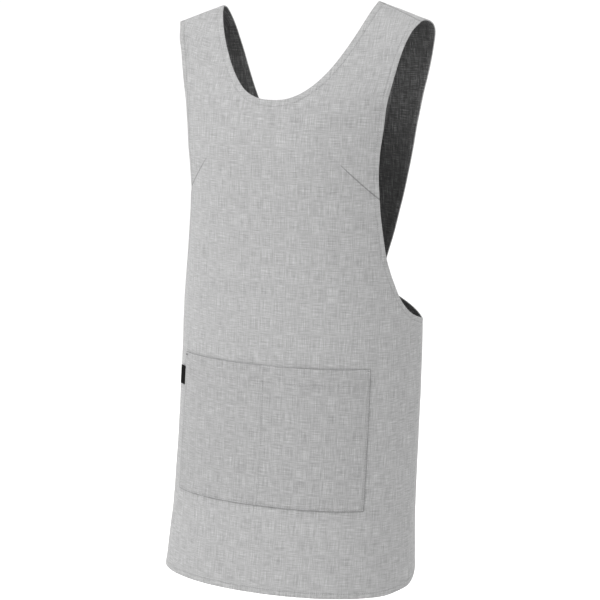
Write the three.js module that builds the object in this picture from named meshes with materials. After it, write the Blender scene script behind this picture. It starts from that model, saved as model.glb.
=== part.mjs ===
// Cross back apron: a pull-over front with wide shoulder straps, two wraps that cross
// behind, and a double patch pocket. Millimetres, +Z up, the front faces -Y, the wearer's
// left is +X. The origin lies midway between the neck ends of the two shoulder seams.
import * as THREE from "three";

// Driving sizes
const apronLength = 900; // neck end of the shoulder seam down to the hem at centre front
const armholeDrop = 489; // down to the lowest point of the armhole
const neckHalfWidth = 134.5;
const neckDrop = 142;
const shoulderReach = 208; // centre line to the armhole end of the shoulder seam
const shoulderTilt = 6; // how much higher the wearer's left shoulder sits, and the right one lower
const strapRise = 5.6; // how far each strap still rises behind its shoulder seam, at the armhole
const hipHalfWidth = 203;
const hipHalfDepth = 125;
const skirtSwing = 43; // how far the hem swings forward of the shoulders
const chestForward = 97; // how far the cloth stands forward at the bottom of the neckline
const sideSeamAngle = 112; // degrees round from centre front
const sideHemRise = 30; // the hem is this much higher at the side seams
const wrapOverlap = 75; // each wrap passes the centre back by this much
const clothThickness = 1.6;
const hemThickness = 2.8; // cloth turned under and stitched down
const bottomHemDepth = 8;
const seamGap = 0.3;
const shoulderSeamGap = 1.2; // the two cloths meet there at an angle, and their undersides nearly touch
const drapeDepth = 3; // depth of the soft upright folds below the armholes
const pocketWidth = 341;
const pocketHeight = 217;
const pocketDrop = 550; // from the shoulder line to the pocket's mouth
const pocketThickness = 1.4;
const pocketHemDepth = 25;
const pocketEase = 8; // how far each compartment's mouth stands off the front
const labelLength = 16;
const labelHeight = 29;
const labelThickness = 1;
const labelDrop = 24; // below the pocket's mouth
const tackLength = 6;
const tackWidth = 2.4;
const tackThickness = 1;
const tackInset = 4; // from the pocket's corner
const crossingGap = 1.2; // between the two wraps where they cross
const hemFade = 1.5; // the wall goes from hem to single cloth over this much

// Fixed shares and degrees that shape the cloth
const neckPower = 2.44; // how square the scoop of the neckline is
const chestPower = 2.6; // how flat the chest stays before it turns to the armhole
const strapBend = 1.1; // how late a bib row drops on its way from neck to armhole
const bibTakeOver = 0.3; // share of the chest over which the bib's rows take over from the sections
const strapTakeOver = 0.6; // share of the neckline over which its rows become the strap's
const neckRoundness = 0.2; // how round a strap goes over the shoulder at the neck
const armholeRoundness = 0.43; // and at the armhole
const slopeReach = 0.02; // stretch of a wrap whose direction its roll takes up
const pocketPuff = 0.6; // how soon a compartment stands off beside its seams
const sideRiseStart = 60; // degrees round from centre front where the hem starts to rise
const hemRiseLevel = 1.6; // body level where the hem's rise starts to show
const foldStartLevel = 0.95; // the upright folds grow from this body level
const foldFullLevel = 1.15; // and are full at this one
const foldHemShare = 0.5; // what is left of their depth at the hem
const tiltFullLevel = 0.02; // the shoulders' tilt is full above this body level
const tiltEndLevel = 0.4; // and is gone at this one
const crossingReach = 1.3; // the outer wrap stands off to this share of the overlap from the centre
const crossingFade = 1.4; // and lies back on the body's form by this share of that distance

// Mesh density
const columnsPerHalf = 15;
const skirtRows = 13;
const lowerArmholeRows = 9;
const upperArmholeRows = 7;
const neckRows = 12;
const wrapColumns = 12;
const strapRows = 20;
const rollRows = 5;
const hemRows = 2; // rows of every net that lie on its turned hem
const pocketColumns = 28;
const pocketRows = 8;

const skirtLength = apronLength - armholeDrop;
const radians = THREE.MathUtils.degToRad;
const walkStep = radians(0.25); // stride round a section when its length is measured
const slopeStep = radians(0.5);
const slopeRise = 2;

// Sections of the body of the apron, from the shoulders down. A level of 0 is the shoulder line,
// 1 the bottom of the armhole and 2 the hem. Widths are shares of the hip's half width, depths
// of its half depth, and the centre is a share of the hem's forward swing.
const bodySections = [
  { level: 0.088, width: 1.172, front: 0.5, back: 0.3, centre: -0.56, square: 2.2 },
  { level: 0.172, width: 1.123, front: 0.7, back: 0.37, centre: -0.63, square: 2.2 },
  { level: 0.307, width: 1.059, front: 0.9, back: 0.46, centre: -0.56, square: 2.2 },
  { level: 0.452, width: 0.985, front: 1.0, back: 0.68, centre: -0.33, square: 2.2 },
  { level: 0.613, width: 0.926, front: 1.024, back: 0.856, centre: -0.28, square: 2.2 },
  { level: 0.789, width: 0.946, front: 1.032, back: 0.888, centre: -0.28, square: 2.2 },
  { level: 1.0, width: 0.983, front: 1.048, back: 0.944, centre: -0.21, square: 2.2 },
  { level: 1.173, width: 0.99, front: 1.032, back: 0.968, centre: -0.07, square: 2.2 },
  { level: 1.676, width: 0.998, front: 0.992, back: 1.088, centre: 0.56, square: 2.2 },
  { level: 2.0, width: 1.04, front: 1.024, back: 1.144, centre: 1.0, square: 2.1 },
];

// Rows of the bib. An along of 0 is the armhole's narrowest place, 1 the bottom of the neckline
// and 2 the shoulder seam. Edge gives the armhole edge's drop as a share of the armhole's, reach
// its distance from the centre as a share of the shoulder's, and edgeForward how far it stands
// forward as a share of the chest's depth.
const bibRows = [
  { along: 0, edge: 0.6196, reach: 0.7907, edgeForward: 0.585 },
  { along: 0.23, edge: 0.545, reach: 0.7844, edgeForward: 0.618 },
  { along: 0.48, edge: 0.463, reach: 0.7932, edgeForward: 0.638 },
  { along: 0.79, edge: 0.372, reach: 0.8154, edgeForward: 0.593 },
  { along: 1, edge: 0.3067, reach: 0.8319, edgeForward: 0.5759 },
  { along: 1.35, edge: 0.2495, reach: 0.8585, edgeForward: 0.5286 },
  { along: 1.49, edge: 0.1984, reach: 0.8846, edgeForward: 0.466 },
  { along: 1.62, edge: 0.1472, reach: 0.9121, edgeForward: 0.395 },
  { along: 1.715, edge: 0.1125, reach: 0.9385, edgeForward: 0.3385 },
  { along: 1.824, edge: 0.0777, reach: 0.9677, edgeForward: 0.217 },
  { along: 2, edge: 0.0555, reach: 1.0, edgeForward: 0.09 },
];

// The bib's profile at its centre line, and above the bottom of the neckline at the neck's edge.
// Drop is a share of the armhole's, and forward a share of the chest's depth.
const bibProfile = [
  { drop: 0.613, forward: 1.196 },
  { drop: 0.539, forward: 1.19 },
  { drop: 0.459, forward: 1.17 },
  { drop: 0.36, forward: 1.09 },
  { drop: 0.292, forward: 1.0 },
  { drop: 0.225, forward: 0.785 },
  { drop: 0.164, forward: 0.591 },
  { drop: 0.102, forward: 0.393 },
  { drop: 0.061, forward: 0.237 },
  { drop: 0.025, forward: 0.102 },
  { drop: 0, forward: -0.045 },
];

// Rows of the front from the bottom of the armhole up to its narrowest place. Centre and edge are
// drops as shares of the armhole's, and angle is the armhole edge's place round the section as a
// share of the side seam's.
const armholeSections = [
  { centre: 1.0, edge: 1.0, angle: 1.0 },
  { centre: 0.969, edge: 0.991, angle: 0.8839 },
  { centre: 0.937, edge: 0.9775, angle: 0.7991 },
  { centre: 0.9, edge: 0.953, angle: 0.7188 },
  { centre: 0.859, edge: 0.916, angle: 0.6545 },
  { centre: 0.818, edge: 0.873, angle: 0.6152 },
  { centre: 0.777, edge: 0.824, angle: 0.5839 },
  { centre: 0.736, edge: 0.773, angle: 0.5616 },
  { centre: 0.685, edge: 0.7055, angle: 0.5482 },
  { centre: 0.613, edge: 0.6196, angle: 0.5321 },
];

// A wrap's two long edges from the bottom of the armhole up to the shoulder. Top is the upper
// edge, which becomes the strap's neck side, and free is the lower edge, which becomes its
// armhole side. Across is a share of the shoulder's reach, positive on the side where the wrap
// is sewn on, and drop is a share of the armhole's.
const wrapRows = [
  { along: 0.0, topAcross: 0.895, topDrop: 1.0, freeAcross: -0.36, freeDrop: 1.16 },
  { along: 0.1, topAcross: 0.72, topDrop: 0.974, freeAcross: -0.363, freeDrop: 1.08 },
  { along: 0.2, topAcross: 0.514, topDrop: 0.94, freeAcross: -0.3755, freeDrop: 1.0 },
  { along: 0.3, topAcross: 0.288, topDrop: 0.885, freeAcross: -0.4115, freeDrop: 0.923 },
  { along: 0.4, topAcross: 0.072, topDrop: 0.808, freeAcross: -0.468, freeDrop: 0.835 },
  { along: 0.5, topAcross: -0.1235, topDrop: 0.71, freeAcross: -0.5505, freeDrop: 0.745 },
  { along: 0.6, topAcross: -0.262, topDrop: 0.6, freeAcross: -0.668, freeDrop: 0.61 },
  { along: 0.7, topAcross: -0.4, topDrop: 0.48, freeAcross: -0.784, freeDrop: 0.46 },
  { along: 0.8, topAcross: -0.526, topDrop: 0.34, freeAcross: -0.864, freeDrop: 0.325 },
  { along: 0.9, topAcross: -0.6225, topDrop: 0.195, freeAcross: -0.9515, freeDrop: 0.195 },
  { along: 1.0, topAcross: -0.672, topDrop: 0.088, freeAcross: -1.002, freeDrop: 0.11 },
];

// Soft upright folds of the front below the armholes: place and half spread round the section in
// degrees, and depth as a share of the drape's.
const drapeFolds = [
  { angle: 77, spread: 9, depth: 1.0 },
  { angle: 91, spread: 8, depth: -0.8 },
];

const clothColour = new THREE.Color().setRGB(0.46, 0.465, 0.475);
const labelColour = new THREE.Color().setRGB(0.02, 0.02, 0.022);
const threadColour = new THREE.Color().setRGB(0.12, 0.12, 0.125);

function smoothStep(low, high, value) {
  return THREE.MathUtils.smoothstep(value, low, high);
}

// Reads every column of a table at one value of its key column, along a smooth curve that
// doesn't overshoot between the rows.
function readTable(table, key, value) {
  const rows = table[0][key] < table[table.length - 1][key] ? table : [...table].reverse();
  const last = rows.length - 1;
  const clamped = THREE.MathUtils.clamp(value, rows[0][key], rows[last][key]);
  let index = rows.findIndex((row, place) => place > 0 && clamped <= row[key]) - 1;
  index = Math.max(index, 0);
  const result = {};
  for (const column of Object.keys(rows[0])) {
    const slope = (place) => {
      const from = rows[place];
      const to = rows[place + 1];
      return (to[column] - from[column]) / (to[key] - from[key]);
    };
    const tangent = (place) => {
      if (place === 0) {
        return slope(0);
      }
      if (place === last) {
        return slope(last - 1);
      }
      const before = slope(place - 1);
      const after = slope(place);
      return before * after <= 0 ? 0 : (2 * before * after) / (before + after);
    };
    const span = rows[index + 1][key] - rows[index][key];
    const share = (clamped - rows[index][key]) / span;
    const start = rows[index][column];
    const end = rows[index + 1][column];
    const square = share * share;
    const cube = square * share;
    result[column] = start * (2 * cube - 3 * square + 1) + end * (3 * square - 2 * cube)
      + span * (tangent(index) * (cube - 2 * square + share) + tangent(index + 1) * (cube - square));
  }
  return result;
}

function levelOf(height) {
  if (-height <= armholeDrop) {
    return -height / armholeDrop;
  }
  return 1 + (-height - armholeDrop) / skirtLength;
}

function sectionAt(height) {
  const shares = readTable(bodySections, "level", levelOf(height));
  return {
    halfWidth: shares.width * hipHalfWidth,
    frontDepth: shares.front * hipHalfDepth,
    backDepth: shares.back * hipHalfDepth,
    centre: -shares.centre * skirtSwing,
    power: 2 / shares.square,
  };
}

function signedPower(value, power) {
  return Math.sign(value) * Math.abs(value) ** power;
}

function foldDepth(angle, height) {
  const size = Math.abs(THREE.MathUtils.radToDeg(angle));
  let depth = 0;
  for (const fold of drapeFolds) {
    const offset = (size - fold.angle) / fold.spread;
    depth += fold.depth * drapeDepth * Math.exp(-offset * offset);
  }
  const level = levelOf(height);
  const grown = smoothStep(foldStartLevel, foldFullLevel, level);
  return depth * grown * (1 - (1 - foldHemShare) * smoothStep(hemRiseLevel, 2, level));
}

// A place on the body of the apron: angle 0 is centre front and half a turn centre back.
function bodyPoint(angle, height) {
  const section = sectionAt(height);
  const across = signedPower(Math.sin(angle), section.power);
  const along = signedPower(Math.cos(angle), section.power);
  const depth = along > 0 ? section.frontDepth : section.backDepth;
  const fold = foldDepth(angle, height);
  return new THREE.Vector3(
    (section.halfWidth - fold) * across,
    section.centre - depth * along,
    height,
  );
}

function angleAtAcross(across, height) {
  const section = sectionAt(height);
  const share = THREE.MathUtils.clamp(Math.abs(across) / section.halfWidth, 0, 1);
  return Math.asin(share ** (1 / section.power));
}

// The angle that lies a given length of cloth from centre front, at one height.
function angleAtLength(length, height) {
  let angle = 0;
  let walked = 0;
  let here = bodyPoint(0, height);
  while (walked < Math.abs(length)) {
    const next = bodyPoint(angle + walkStep, height);
    const stride = next.distanceTo(here);
    if (walked + stride >= Math.abs(length)) {
      angle += (walkStep * (Math.abs(length) - walked)) / stride;
      break;
    }
    walked += stride;
    angle += walkStep;
    here = next;
  }
  return Math.sign(length) * angle;
}

function sideRise(angle) {
  const share = (Math.abs(angle) - radians(sideRiseStart)) / radians(sideSeamAngle - sideRiseStart);
  return sideHemRise * THREE.MathUtils.clamp(share, 0, 1) ** 2;
}

function hemLift(angle, height) {
  return sideRise(angle) * smoothStep(hemRiseLevel, 2, levelOf(height));
}

// The left half of the front, worked out row by row from the hem to the shoulder seam. Share is
// 0 at the centre line or the neckline and 1 at the side seam or the armhole edge.
function skirtPoint(rowShare, share) {
  const height = -apronLength + skirtLength * rowShare;
  const angle = radians(sideSeamAngle) * share;
  return bodyPoint(angle, height).add(new THREE.Vector3(0, 0, hemLift(angle, height)));
}

function lowerArmholePoint(centre, share) {
  const row = readTable(armholeSections, "centre", centre);
  const angle = radians(sideSeamAngle) * row.angle * share;
  const drop = armholeDrop * (row.centre + (row.edge - row.centre) * share * share);
  return bodyPoint(angle, -drop);
}

function profileAt(dropShare) {
  return readTable(bibProfile, "drop", dropShare).forward;
}

// A place on the bib, by how far it lies across from the inner end of its row to the armhole.
function bibPoint(row, forward, inner, share) {
  const reach = row.reach * shoulderReach;
  const across = inner + (reach - inner) * share;
  const turn = (across / reach) ** chestPower;
  const depth = chestForward * (forward + (row.edgeForward - forward) * turn);
  return new THREE.Vector3(across, -depth, 0);
}

// How far across a row of the chest a share lies, so that its columns run on from the body's.
function chestSpread(share) {
  const narrowest = armholeSections[armholeSections.length - 1];
  const angle = radians(sideSeamAngle) * narrowest.angle;
  const power = sectionAt(-armholeDrop * narrowest.centre).power;
  return (Math.sin(angle * share) / Math.sin(angle)) ** power;
}

// Between the armhole's narrowest place and the neckline the bib's rows take over from the
// body's sections.
function chestPoint(along, share) {
  const row = readTable(bibRows, "along", along);
  const narrowest = armholeSections[armholeSections.length - 1];
  const centre = THREE.MathUtils.lerp(narrowest.centre, neckDrop / armholeDrop, along);
  const drop = centre + (row.edge - centre) * share * share;
  const point = bibPoint(row, profileAt(drop), 0, chestSpread(share));
  point.z = -armholeDrop * drop;
  const low = lowerArmholePoint(narrowest.centre, share);
  const takeOver = smoothStep(0, bibTakeOver, along);
  point.y = THREE.MathUtils.lerp(low.y, point.y, takeOver);
  return point;
}

// Above the bottom of the neckline each row runs from the neck's edge to the armhole's. Its first
// rows run on from the chest, and the last are the strap's, which lean back as one.
function neckPoint(turn, share) {
  const inner = neckHalfWidth * Math.sin((turn * Math.PI) / 2);
  const climb = (inner / neckHalfWidth) ** neckPower;
  const row = readTable(bibRows, "along", 1 + turn);
  const strap = smoothStep(0, strapTakeOver, turn);
  const innerDrop = (neckDrop / armholeDrop) * (1 - climb);
  const fall = THREE.MathUtils.lerp(share ** 2, share ** strapBend, strap);
  const drop = innerDrop + (row.edge - innerDrop) * fall;
  const forward = THREE.MathUtils.lerp(profileAt(drop), profileAt(innerDrop), strap);
  const across = THREE.MathUtils.lerp(chestSpread(share), share, strap);
  const point = bibPoint(row, forward, inner, across);
  point.z = -armholeDrop * drop;
  return point;
}

// The apron hangs a little askew, with one shoulder higher than the other.
function settle(point) {
  const side = THREE.MathUtils.clamp(point.x / neckHalfWidth, -1, 1);
  const level = levelOf(Math.min(point.z, 0));
  point.z += shoulderTilt * side * (1 - smoothStep(tiltFullLevel, tiltEndLevel, level));
  return point;
}

// Turns a net of named vertices into a closed wall of cloth. Faces run anticlockwise as seen from
// outside, outer gives the face side of each vertex and thickness the wall there.
function clothSolid(outer, faces, thickness) {
  const count = outer.length;
  const normals = outer.map(() => new THREE.Vector3());
  for (const [a, b, c, d] of faces) {
    const across = outer[c].clone().sub(outer[a]);
    const along = outer[d].clone().sub(outer[b]);
    const normal = across.cross(along).normalize();
    for (const corner of [a, b, c, d]) {
      normals[corner].add(normal);
    }
  }
  const inner = outer.map((point, place) => {
    const normal = normals[place].normalize();
    return point.clone().addScaledVector(normal, -thickness[place]);
  });
  const positions = [...outer, ...inner].flatMap((point) => point.toArray());
  const indices = [];
  const edges = new Map();
  for (const [a, b, c, d] of faces) {
    indices.push(a, b, c, a, c, d);
    indices.push(a + count, c + count, b + count, a + count, d + count, c + count);
    for (const [from, to] of [[a, b], [b, c], [c, d], [d, a]]) {
      if (!edges.delete(`${to} ${from}`)) {
        edges.set(`${from} ${to}`, [from, to]);
      }
    }
  }
  for (const [from, to] of edges.values()) {
    indices.push(to, from, from + count, to, from + count, to + count);
  }
  const geometry = new THREE.BufferGeometry();
  geometry.setAttribute("position", new THREE.Float32BufferAttribute(positions, 3));
  geometry.setIndex(indices);
  geometry.computeVertexNormals();
  return geometry;
}

// A net of rows and columns over one surface, as vertices and faces. Flip turns its faces round.
function gridNet(rows, columns, place, flip) {
  const points = [];
  const faces = [];
  for (let row = 0; row <= rows; row += 1) {
    for (let column = 0; column <= columns; column += 1) {
      points.push(place(row, column));
    }
  }
  for (let row = 0; row < rows; row += 1) {
    for (let column = 0; column < columns; column += 1) {
      const corner = row * (columns + 1) + column;
      const above = corner + columns + 1;
      const face = [corner, corner + 1, above + 1, above];
      faces.push(flip ? face.reverse() : face);
    }
  }
  return { points, faces };
}

function fabric(colour) {
  return new THREE.MeshStandardMaterial({ color: colour, roughness: 0.92, metalness: 0 });
}

// The heights of the rows near a turned hem: its edge, its stitch line, and just above that,
// where the wall goes back to one layer.
function hemRowShares(rows, length, depth) {
  const rest = (depth + hemFade) / length;
  const shares = [0, depth / length];
  for (let row = 0; row <= rows - hemRows; row += 1) {
    shares.push(rest + ((1 - rest) * row) / (rows - hemRows));
  }
  return shares;
}

// Front panel, with both halves sharing the centre line up to the bottom of the neckline.
function frontPanel() {
  const hemShares = hemRowShares(skirtRows, skirtLength, bottomHemDepth);
  const armholeTop = armholeSections[armholeSections.length - 1].centre;
  const rowMakers = hemShares.map((share) => (across) => skirtPoint(share, across));
  for (let row = 1; row <= lowerArmholeRows; row += 1) {
    const centre = 1 + ((armholeTop - 1) * row) / lowerArmholeRows;
    rowMakers.push((across) => lowerArmholePoint(centre, across));
  }
  for (let row = 1; row <= upperArmholeRows; row += 1) {
    rowMakers.push((across) => chestPoint(row / upperArmholeRows, across));
  }
  const neckStart = rowMakers.length - 1;
  for (let row = 1; row <= neckRows; row += 1) {
    rowMakers.push((across) => neckPoint(row / neckRows, across));
  }
  const points = [];
  const thickness = [];
  const names = new Map();
  const vertex = (side, row, column) => {
    const shared = column === 0 && row <= neckStart;
    const name = `${shared ? 0 : side} ${row} ${column}`;
    if (!names.has(name)) {
      const point = rowMakers[row](column / columnsPerHalf);
      point.x *= side;
      names.set(name, points.length);
      points.push(settle(point));
      thickness.push(row < hemRows ? hemThickness : clothThickness);
    }
    return names.get(name);
  };
  const faces = [];
  for (const side of [1, -1]) {
    for (let row = 0; row < rowMakers.length - 1; row += 1) {
      for (let column = 0; column < columnsPerHalf; column += 1) {
        const face = [
          vertex(side, row, column),
          vertex(side, row, column + 1),
          vertex(side, row + 1, column + 1),
          vertex(side, row + 1, column),
        ];
        faces.push(side > 0 ? face : face.reverse());
      }
    }
  }
  return clothSolid(points, faces, thickness);
}

// Extra standoff of the wrap that lies outside, where it crosses the other one.
function layerLift(across, outside) {
  if (!outside) {
    return 0;
  }
  const full = wrapOverlap * crossingReach;
  const flat = full * crossingFade;
  return (hemThickness + crossingGap) * (1 - smoothStep(full, flat, Math.abs(across)));
}

function backPoint(angle, height, outside) {
  const point = bodyPoint(angle, height);
  point.y += layerLift(point.x, outside);
  return point;
}

// The stretch of strap that rolls over the shoulder to the seam. It starts the way the strap comes
// up, ends nearly level, and is rounder at the armhole than at the neck.
function shoulderRoll(lowPoint, upward, seamPoint, share, climb) {
  const roundness = THREE.MathUtils.lerp(neckRoundness, armholeRoundness, share);
  const stride = seamPoint.distanceTo(lowPoint) * roundness;
  const rise = (strapRise * roundness) / armholeRoundness;
  const first = lowPoint.clone().addScaledVector(upward, stride);
  const second = seamPoint.clone().add(new THREE.Vector3(0, stride, rise));
  return new THREE.CubicBezierCurve3(lowPoint, first, second, seamPoint).getPoint(climb);
}

// One wrap with its strap. It is made as the wearer's left one, whose strap ends on the right
// shoulder, and mirrored for the other side.
function backWrap(side, outside) {
  const skirtShares = hemRowShares(skirtRows, skirtLength, bottomHemDepth);
  const seam = radians(sideSeamAngle);
  const seamShift = (2 * seamGap) / hipHalfDepth;
  const acrossAngle = (across, height) => (
    across >= 0
      ? Math.PI - angleAtAcross(across, height)
      : Math.PI + angleAtAcross(across, height)
  );
  const wrapPoint = (along, share) => {
    const row = readTable(wrapRows, "along", along);
    const topHeight = -armholeDrop * row.topDrop;
    const freeHeight = -armholeDrop * row.freeDrop;
    const start = along === 0 ? seam + seamShift : acrossAngle(row.topAcross * shoulderReach, topHeight);
    const end = acrossAngle(row.freeAcross * shoulderReach, freeHeight);
    const angle = start + (end - start) * share;
    return backPoint(angle, topHeight + (freeHeight - topHeight) * share, outside);
  };
  const skirtRow = (rowShare, share) => {
    const freeBottom = -armholeDrop * wrapRows[0].freeDrop;
    const bottom = -apronLength + sideHemRise;
    const seamHeight = -apronLength + skirtLength * rowShare;
    const lifted = seamHeight + hemLift(seam, seamHeight);
    const freeHeight = bottom + (freeBottom - bottom) * rowShare;
    const height = lifted + (freeHeight - lifted) * share;
    const end = acrossAngle(-wrapOverlap, freeHeight);
    const angle = seam + seamShift + (end - seam - seamShift) * share;
    // At the seam it takes the front's own section, so that the two edges lie side by side.
    const point = backPoint(angle, share === 0 ? seamHeight : height, outside);
    point.z = height;
    return point;
  };
  const seamPoint = (share) => {
    const point = neckPoint(1, share);
    point.x *= -1;
    point.y += shoulderSeamGap;
    return point;
  };
  const rows = skirtRows + strapRows + rollRows;
  const thickness = [];
  const net = gridNet(rows, wrapColumns, (row, column) => {
    const share = column / wrapColumns;
    thickness.push(row < hemRows ? hemThickness : clothThickness);
    let point;
    if (row <= skirtRows) {
      point = skirtRow(skirtShares[row], share);
    } else if (row <= skirtRows + strapRows) {
      point = wrapPoint((row - skirtRows) / strapRows, share);
    } else {
      const climb = (row - skirtRows - strapRows) / rollRows;
      const low = wrapPoint(1, share);
      const upward = low.clone().sub(wrapPoint(1 - slopeReach, share)).normalize();
      point = shoulderRoll(low, upward, seamPoint(share), share, climb);
    }
    point.x *= side;
    return settle(point);
  }, side < 0);
  return clothSolid(net.points, net.faces, thickness);
}

function upwardAt(angle, height) {
  const above = bodyPoint(angle, height + slopeRise);
  return above.sub(bodyPoint(angle, height - slopeRise)).normalize();
}

function outwardAt(angle, height) {
  const across = bodyPoint(angle + slopeStep, height).sub(bodyPoint(angle - slopeStep, height));
  return across.cross(upwardAt(angle, height)).normalize();
}

// A place at a standoff from the face of the front, by length of cloth from centre front.
function onFront(length, height, standoff) {
  const angle = angleAtLength(length, height);
  return bodyPoint(angle, height).addScaledVector(outwardAt(angle, height), standoff);
}

// How far the pocket's inside stands off the front. It is held down at both sides, along the
// bottom and along the middle seam, and opens towards the mouth.
function pocketStandoff(share, rise) {
  const compartment = Math.abs(share) * 2;
  const across = Math.sin(Math.PI * compartment) ** pocketPuff;
  return seamGap + pocketEase * across * smoothStep(0, 1, rise);
}

function patchPocket() {
  const shares = hemRowShares(pocketRows, pocketHeight, pocketHemDepth);
  const thickness = [];
  const net = gridNet(pocketRows, pocketColumns, (row, column) => {
    const rise = 1 - shares[pocketRows - row];
    const share = column / pocketColumns - 0.5;
    const turnUnder = row > pocketRows - hemRows ? hemThickness - clothThickness : 0;
    const wall = pocketThickness + turnUnder;
    thickness.push(wall);
    const height = -pocketDrop - pocketHeight * (1 - rise);
    return onFront(pocketWidth * share, height, pocketStandoff(share, rise) + wall);
  }, false);
  return clothSolid(net.points, net.faces, thickness);
}

// A small plate that lies on the front, by its middle and its size.
function plateOnFront(length, height, standoff, size) {
  const angle = angleAtLength(length, height);
  const outward = outwardAt(angle, height);
  const up = upwardAt(angle, height);
  const across = up.clone().cross(outward).normalize();
  const geometry = new THREE.BoxGeometry(size.length, size.thickness, size.height);
  const centre = onFront(length, height, standoff + size.thickness / 2);
  const turn = new THREE.Matrix4().makeBasis(across.negate(), outward.clone(), up);
  return { geometry, centre, turn };
}

const group = new THREE.Group();

function addPiece(name, geometry, material) {
  const mesh = new THREE.Mesh(geometry, material);
  mesh.name = name;
  group.add(mesh);
  return mesh;
}

addPiece("front_panel", frontPanel(), fabric(clothColour));
addPiece("back_wrap_left", backWrap(1, false), fabric(clothColour));
addPiece("back_wrap_right", backWrap(-1, true), fabric(clothColour));
addPiece("patch_pocket", patchPocket(), fabric(clothColour));

function addPlate(name, plate, material) {
  const mesh = addPiece(name, plate.geometry, material);
  mesh.position.copy(plate.centre);
  mesh.quaternion.setFromRotationMatrix(plate.turn);
}

const labelMiddle = -(pocketWidth / 2 + seamGap + labelLength / 2);
const labelHeightAt = -pocketDrop - labelDrop - labelHeight / 2;
const labelBow = (labelLength * labelLength) / (8 * hipHalfDepth); // rise of the front under it
addPlate(
  "side_label",
  plateOnFront(labelMiddle, labelHeightAt, seamGap + labelBow, {
    length: labelLength,
    height: labelHeight,
    thickness: labelThickness,
  }),
  fabric(labelColour),
);

// The tacks lie across the pocket's upper corners, clear of where it starts to stand off.
const tackEnd = 0.5 - (tackInset + tackLength / 2) / pocketWidth;
const tackSeat = pocketStandoff(tackEnd, 1) + pocketThickness + hemThickness - clothThickness;
for (const side of [1, -1]) {
  addPlate(
    side > 0 ? "pocket_tack_left" : "pocket_tack_right",
    plateOnFront(side * (pocketWidth / 2 - tackInset), -pocketDrop - tackInset, tackSeat + seamGap, {
      length: tackLength,
      height: tackWidth,
      thickness: tackThickness,
    }),
    fabric(threadColour),
  );
}

export default group;
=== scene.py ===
# %% [markdown]
# A cross back apron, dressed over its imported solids. The real thing is four flat cuts of one
# light melange cloth: a front with wide shoulder straps, two wraps that cross behind, and a
# double patch pocket. This lesson rebuilds each cut as a fine mesh on the same form as the
# solids, turns its hems, sews it with modelled stitches, and gives it a woven finish.

# %% Load the frame
import math
import bpy
import numpy as np
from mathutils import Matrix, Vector, noise


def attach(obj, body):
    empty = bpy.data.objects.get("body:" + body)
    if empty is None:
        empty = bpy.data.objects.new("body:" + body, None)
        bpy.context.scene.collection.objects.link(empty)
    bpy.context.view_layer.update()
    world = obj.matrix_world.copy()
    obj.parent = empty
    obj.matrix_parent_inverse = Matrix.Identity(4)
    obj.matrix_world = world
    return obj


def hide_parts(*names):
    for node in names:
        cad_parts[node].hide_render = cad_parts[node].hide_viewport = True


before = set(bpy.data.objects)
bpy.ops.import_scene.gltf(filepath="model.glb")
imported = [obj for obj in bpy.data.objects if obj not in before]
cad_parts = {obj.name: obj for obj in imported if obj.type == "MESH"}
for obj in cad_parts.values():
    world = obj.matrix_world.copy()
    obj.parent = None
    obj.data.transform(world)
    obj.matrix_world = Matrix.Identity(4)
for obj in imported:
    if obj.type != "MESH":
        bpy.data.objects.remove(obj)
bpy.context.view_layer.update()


def new_object(name, data):
    """An object that shows this data, linked into the scene."""
    made = bpy.data.objects.new(name, data)
    bpy.context.collection.objects.link(made)
    return made


# %% [markdown]
# The photograph's view comes first, because every choice of detail depends on how large a
# millimetre shows. The lens is long and stands well back, a little left of the wearer and a
# little above the shoulders, so one pixel of the 600 pixel frame is about 1.6 mm of cloth.

# %% Camera
CAMERA_AZIMUTH = math.radians(26.704)
CAMERA_DISTANCE = 3.636
CAMERA_HEIGHT = 0.184
CAMERA_TILT = math.radians(10.147)
CAMERA_LENS = 139.8
SENSOR_WIDTH = 36

camera_data = bpy.data.cameras.new("studio_camera")
camera_data.lens = CAMERA_LENS
camera_data.sensor_width = SENSOR_WIDTH
camera = new_object("studio_camera", camera_data)
camera.location = (
    CAMERA_DISTANCE * math.sin(CAMERA_AZIMUTH),
    -CAMERA_DISTANCE * math.cos(CAMERA_AZIMUTH),
    CAMERA_HEIGHT,
)
camera.rotation_euler = (math.pi / 2 - CAMERA_TILT, 0, CAMERA_AZIMUTH)
bpy.context.scene.camera = camera

# %% [markdown]
# The sizes below are the same driving sizes that the solids are built from, in millimetres.
# Repeating them by name keeps the visible cloth on the form that the solids have, so nothing
# needs fitting. The tables hold shares of those sizes: one row is one section of the body, one
# row of the bib or one step along a wrap.

# %% Sizes in millimetres
MM = 0.001
APRON_LENGTH = 900
ARMHOLE_DROP = 489
NECK_HALF_WIDTH = 134.5
NECK_DROP = 142
SHOULDER_REACH = 208
SHOULDER_TILT = 6
STRAP_RISE = 5.6
HIP_HALF_WIDTH = 203
HIP_HALF_DEPTH = 125
SKIRT_SWING = 43
CHEST_FORWARD = 97
SIDE_SEAM = math.radians(112)
SIDE_HEM_RISE = 30
RISE_START = math.radians(60)
WRAP_OVERLAP = 75
SEAM_GAP = 0.3
DRAPE_DEPTH = 3
POCKET_WIDTH = 341
POCKET_HEIGHT = 217
POCKET_DROP = 550
POCKET_HEM = 25
NECK_POWER = 2.44
CHEST_POWER = 2.6
STRAP_BEND = 1.1
BIB_TAKE_OVER = 0.3
STRAP_TAKE_OVER = 0.6
TILT_FADE = (0.02, 0.4)  # body levels over which the tilt of the shoulders dies out
FOLD_LEVELS = (0.95, 1.15)  # body levels over which the drape's folds begin
HEM_LEVELS = (1.6, 2)  # and those near the hem, where it curves and the folds ease
SEAM_EASE = 0.08  # share of a wrap's row over which it leaves the side seam
STAND_OFF = 4  # how far the outer wrap stands off where the two cross
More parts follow.
